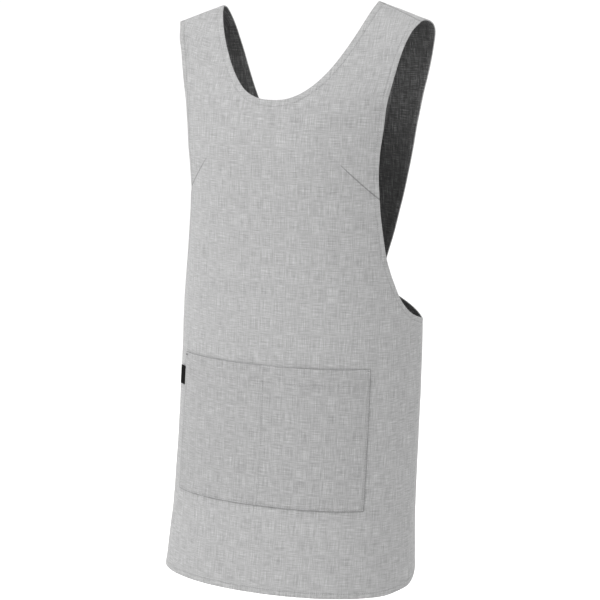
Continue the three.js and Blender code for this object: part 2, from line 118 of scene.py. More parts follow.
CROSSING_REACH = 1.3  # times the overlap, with the whole stand-off within it
CROSSING_FADE = 1.4  # times that reach, with no stand-off past it
JUST_BELOW = 0.98  # the place along a strap that gives its direction at the top
NECK_ROUNDNESS = 0.2
ARMHOLE_ROUNDNESS = 0.43
SKIRT_LENGTH = APRON_LENGTH - ARMHOLE_DROP


def table(names, *rows):
    """Named columns from rows of numbers."""
    values = np.array(rows, dtype=float)
    return {name: values[:, place] for place, name in enumerate(names.split())}


BODY_SECTIONS = table(
    "level width front back centre square",
    (0.088, 1.172, 0.5, 0.3, -0.56, 2.2),
    (0.172, 1.123, 0.7, 0.37, -0.63, 2.2),
    (0.307, 1.059, 0.9, 0.46, -0.56, 2.2),
    (0.452, 0.985, 1.0, 0.68, -0.33, 2.2),
    (0.613, 0.926, 1.024, 0.856, -0.28, 2.2),
    (0.789, 0.946, 1.032, 0.888, -0.28, 2.2),
    (1.0, 0.983, 1.048, 0.944, -0.21, 2.2),
    (1.173, 0.99, 1.032, 0.968, -0.07, 2.2),
    (1.676, 0.998, 0.992, 1.088, 0.56, 2.2),
    (2.0, 1.04, 1.024, 1.144, 1.0, 2.1),
)
BIB_ROWS = table(
    "along edge reach edge_forward",
    (0, 0.6196, 0.7907, 0.585),
    (0.23, 0.545, 0.7844, 0.618),
    (0.48, 0.463, 0.7932, 0.638),
    (0.79, 0.372, 0.8154, 0.593),
    (1, 0.3067, 0.8319, 0.5759),
    (1.35, 0.2495, 0.8585, 0.5286),
    (1.49, 0.1984, 0.8846, 0.466),
    (1.62, 0.1472, 0.9121, 0.395),
    (1.715, 0.1125, 0.9385, 0.3385),
    (1.824, 0.0777, 0.9677, 0.217),
    (2, 0.0555, 1.0, 0.09),
)
BIB_PROFILE = table(
    "drop forward",
    (0.613, 1.196),
    (0.539, 1.19),
    (0.459, 1.17),
    (0.36, 1.09),
    (0.292, 1.0),
    (0.225, 0.785),
    (0.164, 0.591),
    (0.102, 0.393),
    (0.061, 0.237),
    (0.025, 0.102),
    (0, -0.045),
)
ARMHOLE_SECTIONS = table(
    "centre edge angle",
    (1.0, 1.0, 1.0),
    (0.969, 0.991, 0.8839),
    (0.937, 0.9775, 0.7991),
    (0.9, 0.953, 0.7188),
    (0.859, 0.916, 0.6545),
    (0.818, 0.873, 0.6152),
    (0.777, 0.824, 0.5839),
    (0.736, 0.773, 0.5616),
    (0.685, 0.7055, 0.5482),
    (0.613, 0.6196, 0.5321),
)
WRAP_ROWS = table(
    "along top_across top_drop free_across free_drop",
    (0.0, 0.895, 1.0, -0.36, 1.16),
    (0.1, 0.72, 0.974, -0.363, 1.08),
    (0.2, 0.514, 0.94, -0.3755, 1.0),
    (0.3, 0.288, 0.885, -0.4115, 0.923),
    (0.4, 0.072, 0.808, -0.468, 0.835),
    (0.5, -0.1235, 0.71, -0.5505, 0.745),
    (0.6, -0.262, 0.6, -0.668, 0.61),
    (0.7, -0.4, 0.48, -0.784, 0.46),
    (0.8, -0.526, 0.34, -0.864, 0.325),
    (0.9, -0.6225, 0.195, -0.9515, 0.195),
    (1.0, -0.672, 0.088, -1.002, 0.11),
)
DRAPE_FOLDS = ((77, 9, 1.0), (91, 8, -0.8))  # degrees round, half spread, share of the depth
NARROWEST = ARMHOLE_SECTIONS["centre"][-1]
print("front from the shoulders to the hem:", APRON_LENGTH, "mm")

# %% [markdown]
# Each table is read along a smooth curve that never overshoots its rows, which is what a
# pattern cutter does with a flexible rule. numpy reads a whole net of places in one call, so
# the fine meshes take only moments.


# %% Reading the tables
def read_table(rows, key, value):
    order = np.argsort(rows[key])
    keys = rows[key][order]
    value = np.clip(value, keys[0], keys[-1])
    place = np.clip(np.searchsorted(keys, value) - 1, 0, len(keys) - 2)
    span = keys[place + 1] - keys[place]
    share = (value - keys[place]) / span
    result = {}
    for name in rows:
        column = rows[name][order]
        slopes = np.diff(column) / np.diff(keys)
        product = slopes[:-1] * slopes[1:]
        total = np.where(product > 0, slopes[:-1] + slopes[1:], 1)
        middle = np.where(product > 0, 2 * product / total, 0)
        tangents = np.concatenate([slopes[:1], middle, slopes[-1:]])
        result[name] = (
            column[place] * (2 * share**3 - 3 * share**2 + 1)
            + column[place + 1] * (3 * share**2 - 2 * share**3)
            + span * tangents[place] * (share**3 - 2 * share**2 + share)
            + span * tangents[place + 1] * (share**3 - share**2)
        )
    return result


def smooth_step(low, high, value):
    share = np.clip((np.asarray(value, dtype=float) - low) / (high - low), 0, 1)
    return share * share * (3 - 2 * share)


def mix(start, end, share):
    return start + (end - start) * share


def unit(vectors):
    """The same directions, each one long."""
    return vectors / np.maximum(np.linalg.norm(vectors, axis=-1), 1e-12)[..., None]


# %% [markdown]
# The body of the apron is a stack of rounded sections, from which the skirt, the chest and both
# wraps take their form. An angle of 0 is centre front and half a turn is centre back.


# %% The form of the body
def level_of(height):
    drop = -height
    low = 1 + (drop - ARMHOLE_DROP) / SKIRT_LENGTH
    return np.where(drop <= ARMHOLE_DROP, drop / ARMHOLE_DROP, low)


def section_at(height):
    row = read_table(BODY_SECTIONS, "level", level_of(height))
    return {
        "width": row["width"] * HIP_HALF_WIDTH,
        "front": row["front"] * HIP_HALF_DEPTH,
        "back": row["back"] * HIP_HALF_DEPTH,
        "centre": -row["centre"] * SKIRT_SWING,
        "power": 2 / row["square"],
    }


def fold_depth(angle, height):
    level = level_of(height)
    depth = 0
    for place, spread, share in DRAPE_FOLDS:
        offset = (np.abs(np.degrees(angle)) - place) / spread
        depth = depth + share * DRAPE_DEPTH * np.exp(-offset * offset)
    return depth * smooth_step(*FOLD_LEVELS, level) * (1 - 0.5 * smooth_step(*HEM_LEVELS, level))


def body_point(angle, height):
    section = section_at(height)
    sine, cosine = np.sin(angle), np.cos(angle)
    across = np.sign(sine) * np.abs(sine) ** section["power"]
    along = np.sign(cosine) * np.abs(cosine) ** section["power"]
    depth = np.where(along > 0, section["front"], section["back"])
    x = (section["width"] - fold_depth(angle, height)) * across
    y = section["centre"] - depth * along
    return np.stack(np.broadcast_arrays(x, y, height), axis=-1).astype(float)


def hem_lift(angle, height):
    share = np.clip((np.abs(angle) - RISE_START) / (SIDE_SEAM - RISE_START), 0, 1)
    return SIDE_HEM_RISE * share**2 * smooth_step(*HEM_LEVELS, level_of(height))


def settle(points):
    """The shoulders sit a little askew: the wearer's left one higher."""
    side = np.clip(points[..., 0] / NECK_HALF_WIDTH, -1, 1)
    level = level_of(np.minimum(points[..., 2], 0))
    points[..., 2] += SHOULDER_TILT * side * (1 - smooth_step(*TILT_FADE, level))
    return points


# %% [markdown]
# The front is one cut. From the hem up to the bottom of the armholes it wraps round the body,
# then the armholes bite into it, and above the chest it parts at the neckline into two straps.
# Working in rows from the hem upwards gives one unbroken net of four-sided faces, which follows
# the grain of the real cloth.


# %% Rows of the front
def skirt_points(row_share, share):
    height = -APRON_LENGTH + SKIRT_LENGTH * row_share
    angle = SIDE_SEAM * share
    points = body_point(angle, height)
    points[..., 2] += hem_lift(angle, height)
    return points


def lower_armhole_points(centre, share):
    row = read_table(ARMHOLE_SECTIONS, "centre", centre)
    angle = SIDE_SEAM * row["angle"] * share
    drop = ARMHOLE_DROP * mix(row["centre"], row["edge"], share * share)
    return body_point(angle, -drop)


def profile_at(drop):
    return read_table(BIB_PROFILE, "drop", drop)["forward"]


def bib_points(row, drop, forward, inner, share):
    """Places on the bib, from the inner end of each row to the armhole."""
    reach = row["reach"] * SHOULDER_REACH
    across = mix(inner, reach, share)
    turn = (across / reach) ** CHEST_POWER
    y = -CHEST_FORWARD * mix(forward, row["edge_forward"], turn)
    return np.stack(np.broadcast_arrays(across, y, -ARMHOLE_DROP * drop), axis=-1)


def chest_spread(share):
    angle = SIDE_SEAM * ARMHOLE_SECTIONS["angle"][-1]
    power = section_at(-ARMHOLE_DROP * NARROWEST)["power"]
    return (np.sin(angle * share) / math.sin(angle)) ** power


def chest_points(along, share):
    row = read_table(BIB_ROWS, "along", along)
    centre = mix(NARROWEST, NECK_DROP / ARMHOLE_DROP, along)
    drop = mix(centre, row["edge"], share * share)
    points = bib_points(row, drop, profile_at(drop), 0, chest_spread(share))
    low = lower_armhole_points(np.array([[NARROWEST]]), share)[..., 1]
    points[..., 1] = mix(low, points[..., 1], smooth_step(0, BIB_TAKE_OVER, along))
    return points


def neck_points(turn, share):
    inner = NECK_HALF_WIDTH * np.sin(turn * math.pi / 2)
    climb = (inner / NECK_HALF_WIDTH) ** NECK_POWER
    row = read_table(BIB_ROWS, "along", 1 + turn)
    strap = smooth_step(0, STRAP_TAKE_OVER, turn)
    inner_drop = NECK_DROP / ARMHOLE_DROP * (1 - climb)
    drop = mix(inner_drop, row["edge"], mix(share**2, share**STRAP_BEND, strap))
    forward = mix(profile_at(drop), profile_at(inner_drop), strap)
    return bib_points(row, drop, forward, inner, mix(chest_spread(share), share, strap))


# %% [markdown]
# A wrap starts at the side seam, crosses the back and climbs as a strap to the other shoulder,
# where it rolls over to meet the front at the shoulder seam. It has rows too: the skirt's, then
# the strap's, then the roll. The wrap that lies outside stands off a little where both cross.


# %% Rows of a wrap
def angle_at(across, height):
    """The angle on the back that lies this far across, at one height."""
    section = section_at(height)
    share = np.clip(np.abs(across) / section["width"], 0, 1)
    return math.pi - np.sign(across) * np.arcsin(share ** (1 / section["power"]))


def back_points(angle, height, outside):
    points = body_point(angle, height)
    if outside:
        full = WRAP_OVERLAP * CROSSING_REACH
        off_centre = np.abs(points[..., 0])
        points[..., 1] += STAND_OFF * (1 - smooth_step(full, full * CROSSING_FADE, off_centre))
    return points


SEAM_START = SIDE_SEAM + 2 * SEAM_GAP / HIP_HALF_DEPTH


def wrap_skirt_points(row_share, share, outside):
    free_bottom = -ARMHOLE_DROP * WRAP_ROWS["free_drop"][0]
    bottom = -APRON_LENGTH + SIDE_HEM_RISE
    seam_height = -APRON_LENGTH + SKIRT_LENGTH * row_share
    lifted = seam_height + hem_lift(SIDE_SEAM, seam_height)
    free_height = mix(bottom, free_bottom, row_share)
    height = mix(lifted, free_height, share)
    angle = mix(SEAM_START, angle_at(-WRAP_OVERLAP, free_height), share)
    form_height = mix(seam_height, height, smooth_step(0, SEAM_EASE, share))
    points = back_points(angle, form_height, outside)
    points[..., 2] = height
    return points


def wrap_strap_points(along, share, outside):
    row = read_table(WRAP_ROWS, "along", along)
    top_height = -ARMHOLE_DROP * row["top_drop"]
    free_height = -ARMHOLE_DROP * row["free_drop"]
    top_angle = angle_at(row["top_across"] * SHOULDER_REACH, top_height)
    start = np.where(along == 0, SEAM_START, top_angle)
    end = angle_at(row["free_across"] * SHOULDER_REACH, free_height)
    return back_points(mix(start, end, share), mix(top_height, free_height, share), outside)


def roll_points(climb, share, outside):
    """The last stretch of the strap, over the shoulder to the seam."""
    seam = neck_points(np.array([[1.0]]), share)
    seam[..., 0] *= -1
    seam[..., 1] += 2 * SEAM_GAP
    low = wrap_strap_points(np.array([[1.0]]), share, outside)
    upward = unit(low - wrap_strap_points(np.array([[JUST_BELOW]]), share, outside))
    roundness = mix(NECK_ROUNDNESS, ARMHOLE_ROUNDNESS, share)[..., None]
    stride = np.linalg.norm(seam - low, axis=-1)[..., None] * roundness
    first = low + upward * stride
    second = seam + np.array([0, 1, 0]) * stride
    second += np.array([0, 0, 1]) * STRAP_RISE * roundness / ARMHOLE_ROUNDNESS
    climb, fall = climb[..., None], 1 - climb[..., None]
    early, late = 3 * climb * fall**2, 3 * climb**2 * fall
    return fall**3 * low + early * first + late * second + climb**3 * seam


# %% [markdown]
# A net is a grid of places, with each place's lie on the flat cut in metres as its texture
# coordinates. The weave is drawn in those, so its threads run true up the cloth and over the
# shoulders. Across, a row is measured along the cloth from the centre. Up, the height serves
# until the cloth leans back over the shoulder, and from there on its own length does.


# %% Nets of cloth
def flat_lie(points, lean_from):
    step = np.linalg.norm(np.diff(points[..., :2], axis=1), axis=2)
    across = np.concatenate([np.zeros((len(points), 1)), np.cumsum(step, axis=1)], axis=1)
    nearest = np.abs(points[..., 0]).argmin(axis=1)
    rows = np.arange(len(points))
    direction = np.sign(points[:, -1, 0] - points[:, 0, 0])[:, None]
    across = (across - across[rows, nearest][:, None]) * direction
    across += points[rows, nearest, 0][:, None]
    climb = np.linalg.norm(np.diff(points[lean_from:, :, 1:], axis=0), axis=2)
    up = points[..., 2].copy()
    up[lean_from + 1:] = points[lean_from, :, 2] + np.cumsum(climb, axis=0)
    return np.stack([across, up], axis=-1) * MM


def grid_faces(rows, columns, flip):
    place = np.arange(rows * columns).reshape(rows, columns)
    low, high = place[:-1], place[1:]
    faces = np.stack([low[:, :-1], low[:, 1:], high[:, 1:], high[:, :-1]], axis=-1).reshape(-1, 4)
    return faces[:, ::-1] if flip else faces


def dense_ends(count, weight=0.6):
    """Shares from 0 to 1 that lie closer together towards 1, where the hem is."""
    even = np.linspace(0, 1, count + 1)
    return (1 - weight) * even + weight * np.sin(even * math.pi / 2)


def hem_rows(count, length, depth=12, fine=7):
    """Shares of the length, close together over the turned hem at the start."""
    return np.concatenate([np.linspace(0, depth / length, fine)[:-1],
                           np.linspace(depth / length, 1, count + 1)])


FRONT_COLUMNS = 72
ARMHOLE_STEPS = 42
CHEST_STEPS = 32
NECK_STEPS = 52
SHARE = dense_ends(FRONT_COLUMNS)[None, :]
SKIRT_ROWS = hem_rows(78, SKIRT_LENGTH)[:, None]
front_half = np.concatenate([
    skirt_points(SKIRT_ROWS, SHARE),
    lower_armhole_points(np.linspace(1, NARROWEST, ARMHOLE_STEPS + 1)[1:, None], SHARE),
    chest_points(np.linspace(0, 1, CHEST_STEPS + 1)[1:, None], SHARE),
    neck_points(np.linspace(0, 1, NECK_STEPS + 1)[1:, None], SHARE),
])
ARMHOLE_ROW = len(SKIRT_ROWS) - 1
NECK_ROW = ARMHOLE_ROW + ARMHOLE_STEPS + CHEST_STEPS
print("rows of the front:", len(front_half), "columns in each half:", FRONT_COLUMNS + 1)

# %% [markdown]
# Every cut has edges that are turned under and stitched, and edges that go into a seam. Each
# vertex learns how far it lies from the nearest stitch line and the nearest seam. That distance
# is exact and smooth, so the same numbers can thicken the mesh over a hem, press the groove of a
# seam and, in the material, draw lines that are finer than the faces.


# %% Distances to the edges
def distance_to_line(points, line):
    """Distance of each point to a chain of straight pieces."""
    nearest = np.full(len(points), 1e9)
    for start, end in zip(line[:-1], line[1:]):
        along = end - start
        size = max(float(along @ along), 1e-9)
        share = np.clip((points - start) @ along / size, 0, 1)
        gap = np.linalg.norm(points - start - share[:, None] * along, axis=1)
        nearest = np.minimum(nearest, gap)
    return nearest


NECK_HEM = 9
ARMHOLE_HEM = 7
WRAP_HEM = 9
BOTTOM_HEM = 7
FAR = 60  # no line is drawn further off than this


def stitch_distance(points, hems):
    """How far each point lies inwards of the nearest stitch line, and negative on the hem."""
    nearest = np.full(len(points), float(FAR))
    for line, width in hems:
        nearest = np.minimum(nearest, distance_to_line(points, line) - width)
    return nearest


# %% [markdown]
# One helper makes all the cloth. It takes a net of the face side, works out which way each
# vertex faces, presses relief into it, and adds the reverse side and a round folded rim between
# the two. Solidify could add the wall, but it can't thicken only the hems or round their folds.
# The reverse is painted charcoal as shade for the unlit inside, so each side has its own material.

# %% The cloth maker
CLOTH_WALL = 0.9
HEM_WALL = 1.7
HEM_EDGE = (1.0, -0.5)  # places from the stitch line over which the wall thickens
SWELL_EDGE = (1.5, -1.5)  # and over which the hem swells
STITCH_PRESS = 0.3
STITCH_SPREAD = 1.6
RIM_TURNS = (math.pi / 4, math.pi / 2, 3 * math.pi / 4)


def vertex_normals(points, faces):
    a, b, c, d = (points[faces[:, corner]] for corner in range(4))
    face_normals = np.cross(c - a, d - b)
    normals = np.zeros_like(points)
    for corner in range(4):
        np.add.at(normals, faces[:, corner], face_normals)
    return unit(normals)


def rim_edges(faces, count):
    """The open edges of a net, each with the cloth on its left."""
    start = faces.ravel()
    end = np.roll(faces, -1, axis=1).ravel()
    alone = ~np.isin(start * count + end, end * count + start)
    return start[alone], end[alone]


def make_cloth(name, points, faces, flat, marks, relief, wall, finishes):
    """A closed wall of cloth. Marks are attributes by name, and relief lifts the face."""
    count = len(points)
    normals = vertex_normals(points, faces)
    outer = points + normals * relief[:, None]
    inner = outer - normals * wall[:, None]
    start, end = rim_edges(faces, count)
    away = np.zeros_like(points)
    for vertex in (start, end):
        np.add.at(away, vertex, np.cross(points[end] - points[start], normals[vertex]))
    rim = np.unique(start)
    away = unit(away[rim])
    middle = (outer[rim] + inner[rim]) / 2
    radius = (wall[rim] / 2)[:, None]
    rings = [middle + radius * (normals[rim] * math.cos(turn) + away * math.sin(turn))
             for turn in RIM_TURNS]
    place = np.full(count, -1)
    place[rim] = np.arange(len(rim))
    chain = [np.arange(count)]
    chain += [2 * count + ring * len(rim) + place for ring in range(len(rings))]
    chain += [np.arange(count) + count]
    walls = [np.stack([one[end], one[start], two[start], two[end]], axis=-1)
             for one, two in zip(chain[:-1], chain[1:])]
    all_points = np.concatenate([outer, inner, *rings]) * MM
    source = np.concatenate([np.arange(count), np.arange(count), *[rim] * len(rings)])
    all_faces = np.concatenate([faces, faces[:, ::-1] + count, *walls])
    mesh = bpy.data.meshes.new(name)
    mesh.from_pydata(all_points.tolist(), [], all_faces.tolist())
    mesh.polygons.foreach_set("use_smooth", np.ones(len(all_faces), dtype=bool))
    side = np.zeros(len(all_faces), dtype=np.int32)
    side[len(faces):2 * len(faces)] = 1
    for finish in finishes:
        mesh.materials.append(finish)
    mesh.polygons.foreach_set("material_index", side)
    cut = mesh.uv_layers.new(name="cut")
    cut.uv.foreach_set("vector", flat[source][all_faces.ravel()].ravel())
    for mark, values in marks.items():
        attribute = mesh.attributes.new(mark, "FLOAT", "POINT")
        attribute.data.foreach_set("value", values[source].astype(np.float32))
    mesh.update()
    piece = new_object(name, mesh)
    print(name, "triangles:", 2 * len(all_faces))
    return piece


def sewn_relief(stitch, swell):
    """The swell of a hem less the groove of its stitches."""
    groove = STITCH_PRESS * np.exp(-(stitch / STITCH_SPREAD) ** 2)
    return swell * smooth_step(*SWELL_EDGE, stitch) - groove


def sewn_wall(stitch):
    return mix(CLOTH_WALL, HEM_WALL, smooth_step(*HEM_EDGE, stitch))


def unevenness(points, size, depth, seed):
    """Slight hand-made waviness of the cloth, in millimetres."""
    shift = Vector((seed * 7.1, seed * 3.7, seed * 1.3))
    values = [noise.fractal(Vector(point) / size + shift, 0.8, 2.0, 2) for point in points]
    return depth * np.array(values)


# %% [markdown]
# Colours come before the pieces. The face is a pale grey melange: light and mid grey threads
# spun unevenly, so it shows short upright and level streaks, a soft mottle, and no regular
# pattern. The reverse is the same weave in charcoal, which is painted shade for the unlit
# inside, with paler upright slubs. Both come from one node group, which draws in the flat cut's
# own coordinates.

# %% Node helpers
def add_node(tree, kind, links=None, **settings):
    """A node with its settings, its values and the sockets that feed it."""
    made = tree.nodes.new(kind)
    for name, value in settings.items():
        setattr(made, name, value)
    for name, value in (links or {}).items():
        socket = made.inputs[name]
        if isinstance(value, bpy.types.NodeSocket):
            tree.links.new(value, socket)
        else:
            socket.default_value = value
    return made


def add_math(tree, operation, first, second=0.5, third=0.5):
    made = add_node(tree, "ShaderNodeMath", {0: first, 1: second, 2: third}, operation=operation)
    return made.outputs[0]


def add_range(tree, value, low, high, to_low=0.0, to_high=1.0, curve="SMOOTHSTEP"):
    links = {"Value": value, "From Min": low, "From Max": high,
             "To Min": to_low, "To Max": to_high}
    return add_node(tree, "ShaderNodeMapRange", links, interpolation_type=curve).outputs[0]


def blend(tree, share, first, second):
    """The first colour, turned to the second by a share."""
    links = {"Factor": share, 6: first, 7: second}
    return add_node(tree, "ShaderNodeMix", links, data_type="RGBA").outputs[2]


def new_group(name, sockets, kind_of_tree="ShaderNodeTree"):
    """An empty group with named sockets, given as (name, in or out, kind, value)."""
    group = bpy.data.node_groups.new(name, kind_of_tree)
    for label, way, kind, value in sockets:
        socket = group.interface.new_socket(label, in_out=way, socket_type="NodeSocket" + kind)
        if value is not None:
            socket.default_value = value
    return group, group.nodes.new("NodeGroupInput"), group.nodes.new("NodeGroupOutput")


# %% [markdown]
# The weave group stretches noise along the warp and along the weft. Streaks about a millimetre
# wide are what a camera sees of uneven yarn at this distance. A finer plain weave goes into the
# height only, for close views.


# %% The melange weave
def streaks(tree, cut, across, along, turned, seed):
    """Noise drawn out along one set of threads. Across and along are sizes in metres."""
    u, v = (1 / along, 1 / across) if turned else (1 / across, 1 / along)
    links = {"Vector": cut, "Scale": (u, v, 1), "Location": (seed, seed * 0.37, seed)}
    lie = add_node(tree, "ShaderNodeMapping", links, vector_type="POINT").outputs[0]
    grain = {"Vector": lie, "Scale": 1.0, "Detail": 3.0, "Roughness": 0.65}
    return add_node(tree, "ShaderNodeTexNoise", grain, noise_dimensions="2D").outputs["Fac"]


def ripples(tree, cut, axis, pitch):
    """Even ribs across one axis of the cut, a pitch in metres apart."""
    place = add_node(tree, "ShaderNodeSeparateXYZ", {0: cut}).outputs[axis]
    return add_math(tree, "SINE", add_math(tree, "MULTIPLY", place, math.tau / pitch))


PLAIN_PITCH = 0.0011
THREADS = (  # across and along in metres, turned to the weft, seed
    (0.001, 0.026, False, 3.1),
    (0.001, 0.021, True, 8.4),
    (0.0022, 0.07, False, 5.5),
    (0.0022, 0.045, True, 1.7),
    (0.0022, 0.035, False, 12.9),
)
BROAD_SHARE = 0.2
EVEN_THREADS = 1.2  # the sum of the threads where the cloth has its own colour


def make_weave_group():
    tree, given, out = new_group("Melange weave", [
        ("Cut", "INPUT", "Vector", None),
        ("Yarn", "INPUT", "Color", (0.4, 0.4, 0.4, 1)),
        ("Pale yarn", "INPUT", "Color", (0.6, 0.6, 0.6, 1)),
        ("Dark yarn", "INPUT", "Color", (0.2, 0.2, 0.2, 1)),
        ("Streaks", "INPUT", "Float", 1.0),
        ("Slubs", "INPUT", "Float", 0.3),
        ("Color", "OUTPUT", "Color", None),
        ("Height", "OUTPUT", "Float", None),
    ])
    cut = given.outputs["Cut"]
    warp, weft, broad_warp, broad_weft, slub = (streaks(tree, cut, *row) for row in THREADS)
    threads = add_math(tree, "ADD", warp, weft)
    broad = add_math(tree, "ADD", broad_warp, broad_weft)
    together = add_math(tree, "MULTIPLY_ADD", broad, BROAD_SHARE, threads)
    uneven = add_math(tree, "SUBTRACT", together, EVEN_THREADS)
    swing = add_math(tree, "MULTIPLY", uneven, given.outputs["Streaks"])
    dark_share = add_range(tree, swing, 0.0, -0.5, curve="LINEAR")
    pale_share = add_range(tree, swing, 0.0, 0.5, curve="LINEAR")
    spots = add_math(tree, "MULTIPLY", add_range(tree, slub, 0.6, 0.8), given.outputs["Slubs"])
    base = blend(tree, dark_share, given.outputs["Yarn"], given.outputs["Dark yarn"])
    pale_share = add_math(tree, "MAXIMUM", pale_share, spots)
    pale = blend(tree, pale_share, base, given.outputs["Pale yarn"])
    plain = add_math(tree, "MULTIPLY", ripples(tree, cut, 0, PLAIN_PITCH),
                     ripples(tree, cut, 1, PLAIN_PITCH))
    height = add_math(tree, "MULTIPLY_ADD", plain, 0.25, threads)
    tree.links.new(pale, out.inputs["Color"])
    tree.links.new(height, out.inputs["Height"])
    return tree


weave_group = make_weave_group()

# %% [markdown]
# Sewing shows as fine lines: a stitched row pulls the cloth into a shallow groove, a seam is a
# sharper one, and a dart is a crease that closes to a point. A second group turns the
# distances kept on the mesh into a groove for the height and painted shade along each line in
# the colour.


# %% Sewn lines
def line_mask(tree, distance, half_width):
    """1 on the line and 0 from half_width millimetres off it."""
    return add_range(tree, add_math(tree, "ABSOLUTE", distance), half_width, 0.0)


# The shade of each line is painted shade in its groove.
SEWN_LINES = (  # mark, half width in millimetres, depth, shade
    ("Stitch", 1.3, -1.4, -0.17),
    ("Seam", 1.5, -3.0, -0.3),
    ("Dart", 1.5, -5.0, -0.42),
)
PUCKER_REACH = 6.0
PUCKER_DEPTH = 2.4


def make_sewing_group():
    tree, given, out = new_group("Sewn lines", [
        ("Color", "INPUT", "Color", None),
        ("Height", "INPUT", "Float", None),
        ("Stitch", "INPUT", "Float", FAR),
        ("Seam", "INPUT", "Float", FAR),
        ("Dart", "INPUT", "Float", FAR),
        ("Cut", "INPUT", "Vector", None),
        ("Hem painted light", "INPUT", "Float", 0.0),
        ("Color", "OUTPUT", "Color", None),
        ("Height", "OUTPUT", "Float", None),
    ])
    # The hem band can be painted lighter: painted light over the hems, used on the shaded reverse.
    hem = add_range(tree, given.outputs["Stitch"], 0.8, -0.8)
    near = line_mask(tree, given.outputs["Stitch"], PUCKER_REACH)
    scale = {"Vector": given.outputs["Cut"], "Scale": 150.0, "Detail": 1.0}
    pucker = add_node(tree, "ShaderNodeTexNoise", scale, noise_dimensions="2D").outputs["Fac"]
    ripple = add_math(tree, "MULTIPLY", pucker, near)
    pressed, light = given.outputs["Height"], 1.0
    for mark, half_width, depth, shade in SEWN_LINES:
        line = line_mask(tree, given.outputs[mark], half_width)
        pressed = add_math(tree, "MULTIPLY_ADD", line, depth, pressed)
        light = add_math(tree, "MULTIPLY_ADD", line, shade, light)
    pressed = add_math(tree, "MULTIPLY_ADD", ripple, PUCKER_DEPTH, pressed)
    light = add_math(tree, "MULTIPLY_ADD", hem, given.outputs["Hem painted light"], light)
    tinted = add_node(tree, "ShaderNodeVectorMath", {0: given.outputs["Color"], 1: light},
                      operation="MULTIPLY").outputs[0]
    tree.links.new(tinted, out.inputs["Color"])
    tree.links.new(pressed, out.inputs["Height"])
    return tree


sewing_group = make_sewing_group()

# %% [markdown]
# Three cloth materials place both groups and add what a shader needs: a rough surface, a soft
# sheen of loose fibre, and a bump from the groups' height. The pocket is painted a shade darker
# than the front, as painted shade for its tilt, and the charcoal reverse, itself painted shade,
# is painted a little lighter on its hems.


# %% Cloth materials
def grey(value):
    return (value, value, value, 1)


def read_mark(tree, name):
    return add_node(tree, "ShaderNodeAttribute", attribute_name=name).outputs["Fac"]


def new_finish(name, roughness, specular, sheen):
    """A new material with its tree and its shader."""
    finish = bpy.data.materials.new(name)
    finish.use_nodes = True
    shader = finish.node_tree.nodes["Principled BSDF"]
    shader.inputs["Roughness"].default_value = roughness
    shader.inputs["Specular IOR Level"].default_value = specular
    shader.inputs["Sheen Weight"].default_value = sheen
    return finish, finish.node_tree, shader


def connect(tree, shader, color, height, strength, distance):
    """Links a colour and a bump of this strength and depth in metres to the shader."""
    bump = add_node(tree, "ShaderNodeBump", {"Height": height, "Strength": strength,
                    "Distance": distance})
    tree.links.new(color, shader.inputs["Base Color"])
    tree.links.new(bump.outputs[0], shader.inputs["Normal"])


def cloth_finish(name, yarn, pale, dark, streak_share, slub_share, sheen, hem_painted_light=0.0):
    finish, tree, shader = new_finish(name, roughness=0.86, specular=0.25, sheen=sheen)
    cut = add_node(tree, "ShaderNodeUVMap", uv_map="cut").outputs[0]
    woven = add_node(tree, "ShaderNodeGroup", {
        "Cut": cut, "Yarn": grey(yarn), "Pale yarn": grey(pale), "Dark yarn": grey(dark),
        "Streaks": streak_share, "Slubs": slub_share}, node_tree=weave_group)
    marks = {mark: read_mark(tree, mark.lower()) for mark, *_ in SEWN_LINES}
    sewn = add_node(tree, "ShaderNodeGroup", {
        "Color": woven.outputs["Color"], "Height": woven.outputs["Height"], "Cut": cut,
        "Hem painted light": hem_painted_light, **marks}, node_tree=sewing_group)
    connect(tree, shader, sewn.outputs["Color"], sewn.outputs["Height"],
            strength=0.55, distance=0.00022)
    shader.inputs["Sheen Roughness"].default_value = 0.45
    return finish


face_finish = cloth_finish("melange_face", yarn=0.246, pale=0.362, dark=0.153,
                           streak_share=1.15, slub_share=0.05, sheen=0.1)
# The pocket's melange is painted darker than the front's: painted shade for its tilt.
pocket_shaded_finish = cloth_finish("melange_pocket_shaded", yarn=0.228, pale=0.34, dark=0.14,
                             streak_share=1.15, slub_share=0.05, sheen=0.1)
# The reverse is the weave in charcoal: painted shade for the unlit inside of the apron.
reverse_shade_finish = cloth_finish("reverse_painted_shade", yarn=0.024, pale=0.125, dark=0.012,
                              streak_share=1.1, slub_share=1.0, sheen=0.05, hem_painted_light=0.45)
CLOTH_FINISHES = (face_finish, reverse_shade_finish)
print("materials:", [finish.name for finish in (*CLOTH_FINISHES, pocket_shaded_finish)])

# %% [markdown]
# The front panel now. Both halves share the centre line up to the neckline. The darts are the
# two short seams that start at the armholes and give the chest its shape: each is a straight
# line on the cloth, sharp at the armhole and gone at its tip. They are laid by the height and
# the distance from the centre that the photograph shows.

# %% Front panel
DART_MOUTH = (1.0, -289)  # share of the half width, and height in millimetres
DART_TIP = (0.7, -235)


def mirror_net(points):
    other = points.copy()
    other[..., 0] *= -1
    return other


def join_halves(halves, shared_rows):
    """Joins the left and right nets along their first column, up to the neckline."""
    rows, columns = halves[0].shape[:2]
    count = rows * columns
    names = np.arange(2 * count).reshape(2, rows, columns)
    names[1, :shared_rows, 0] = names[0, :shared_rows, 0]
    used, packed = np.unique(names, return_inverse=True)
    names = packed.reshape(2, rows, columns)
    points = np.concatenate([half.reshape(-1, 3) for half in halves])[used]
    faces = []
    for side, flip in ((0, False), (1, True)):
        faces.append(names[side].ravel()[grid_faces(rows, columns, flip)])
    return points, np.concatenate(faces), used


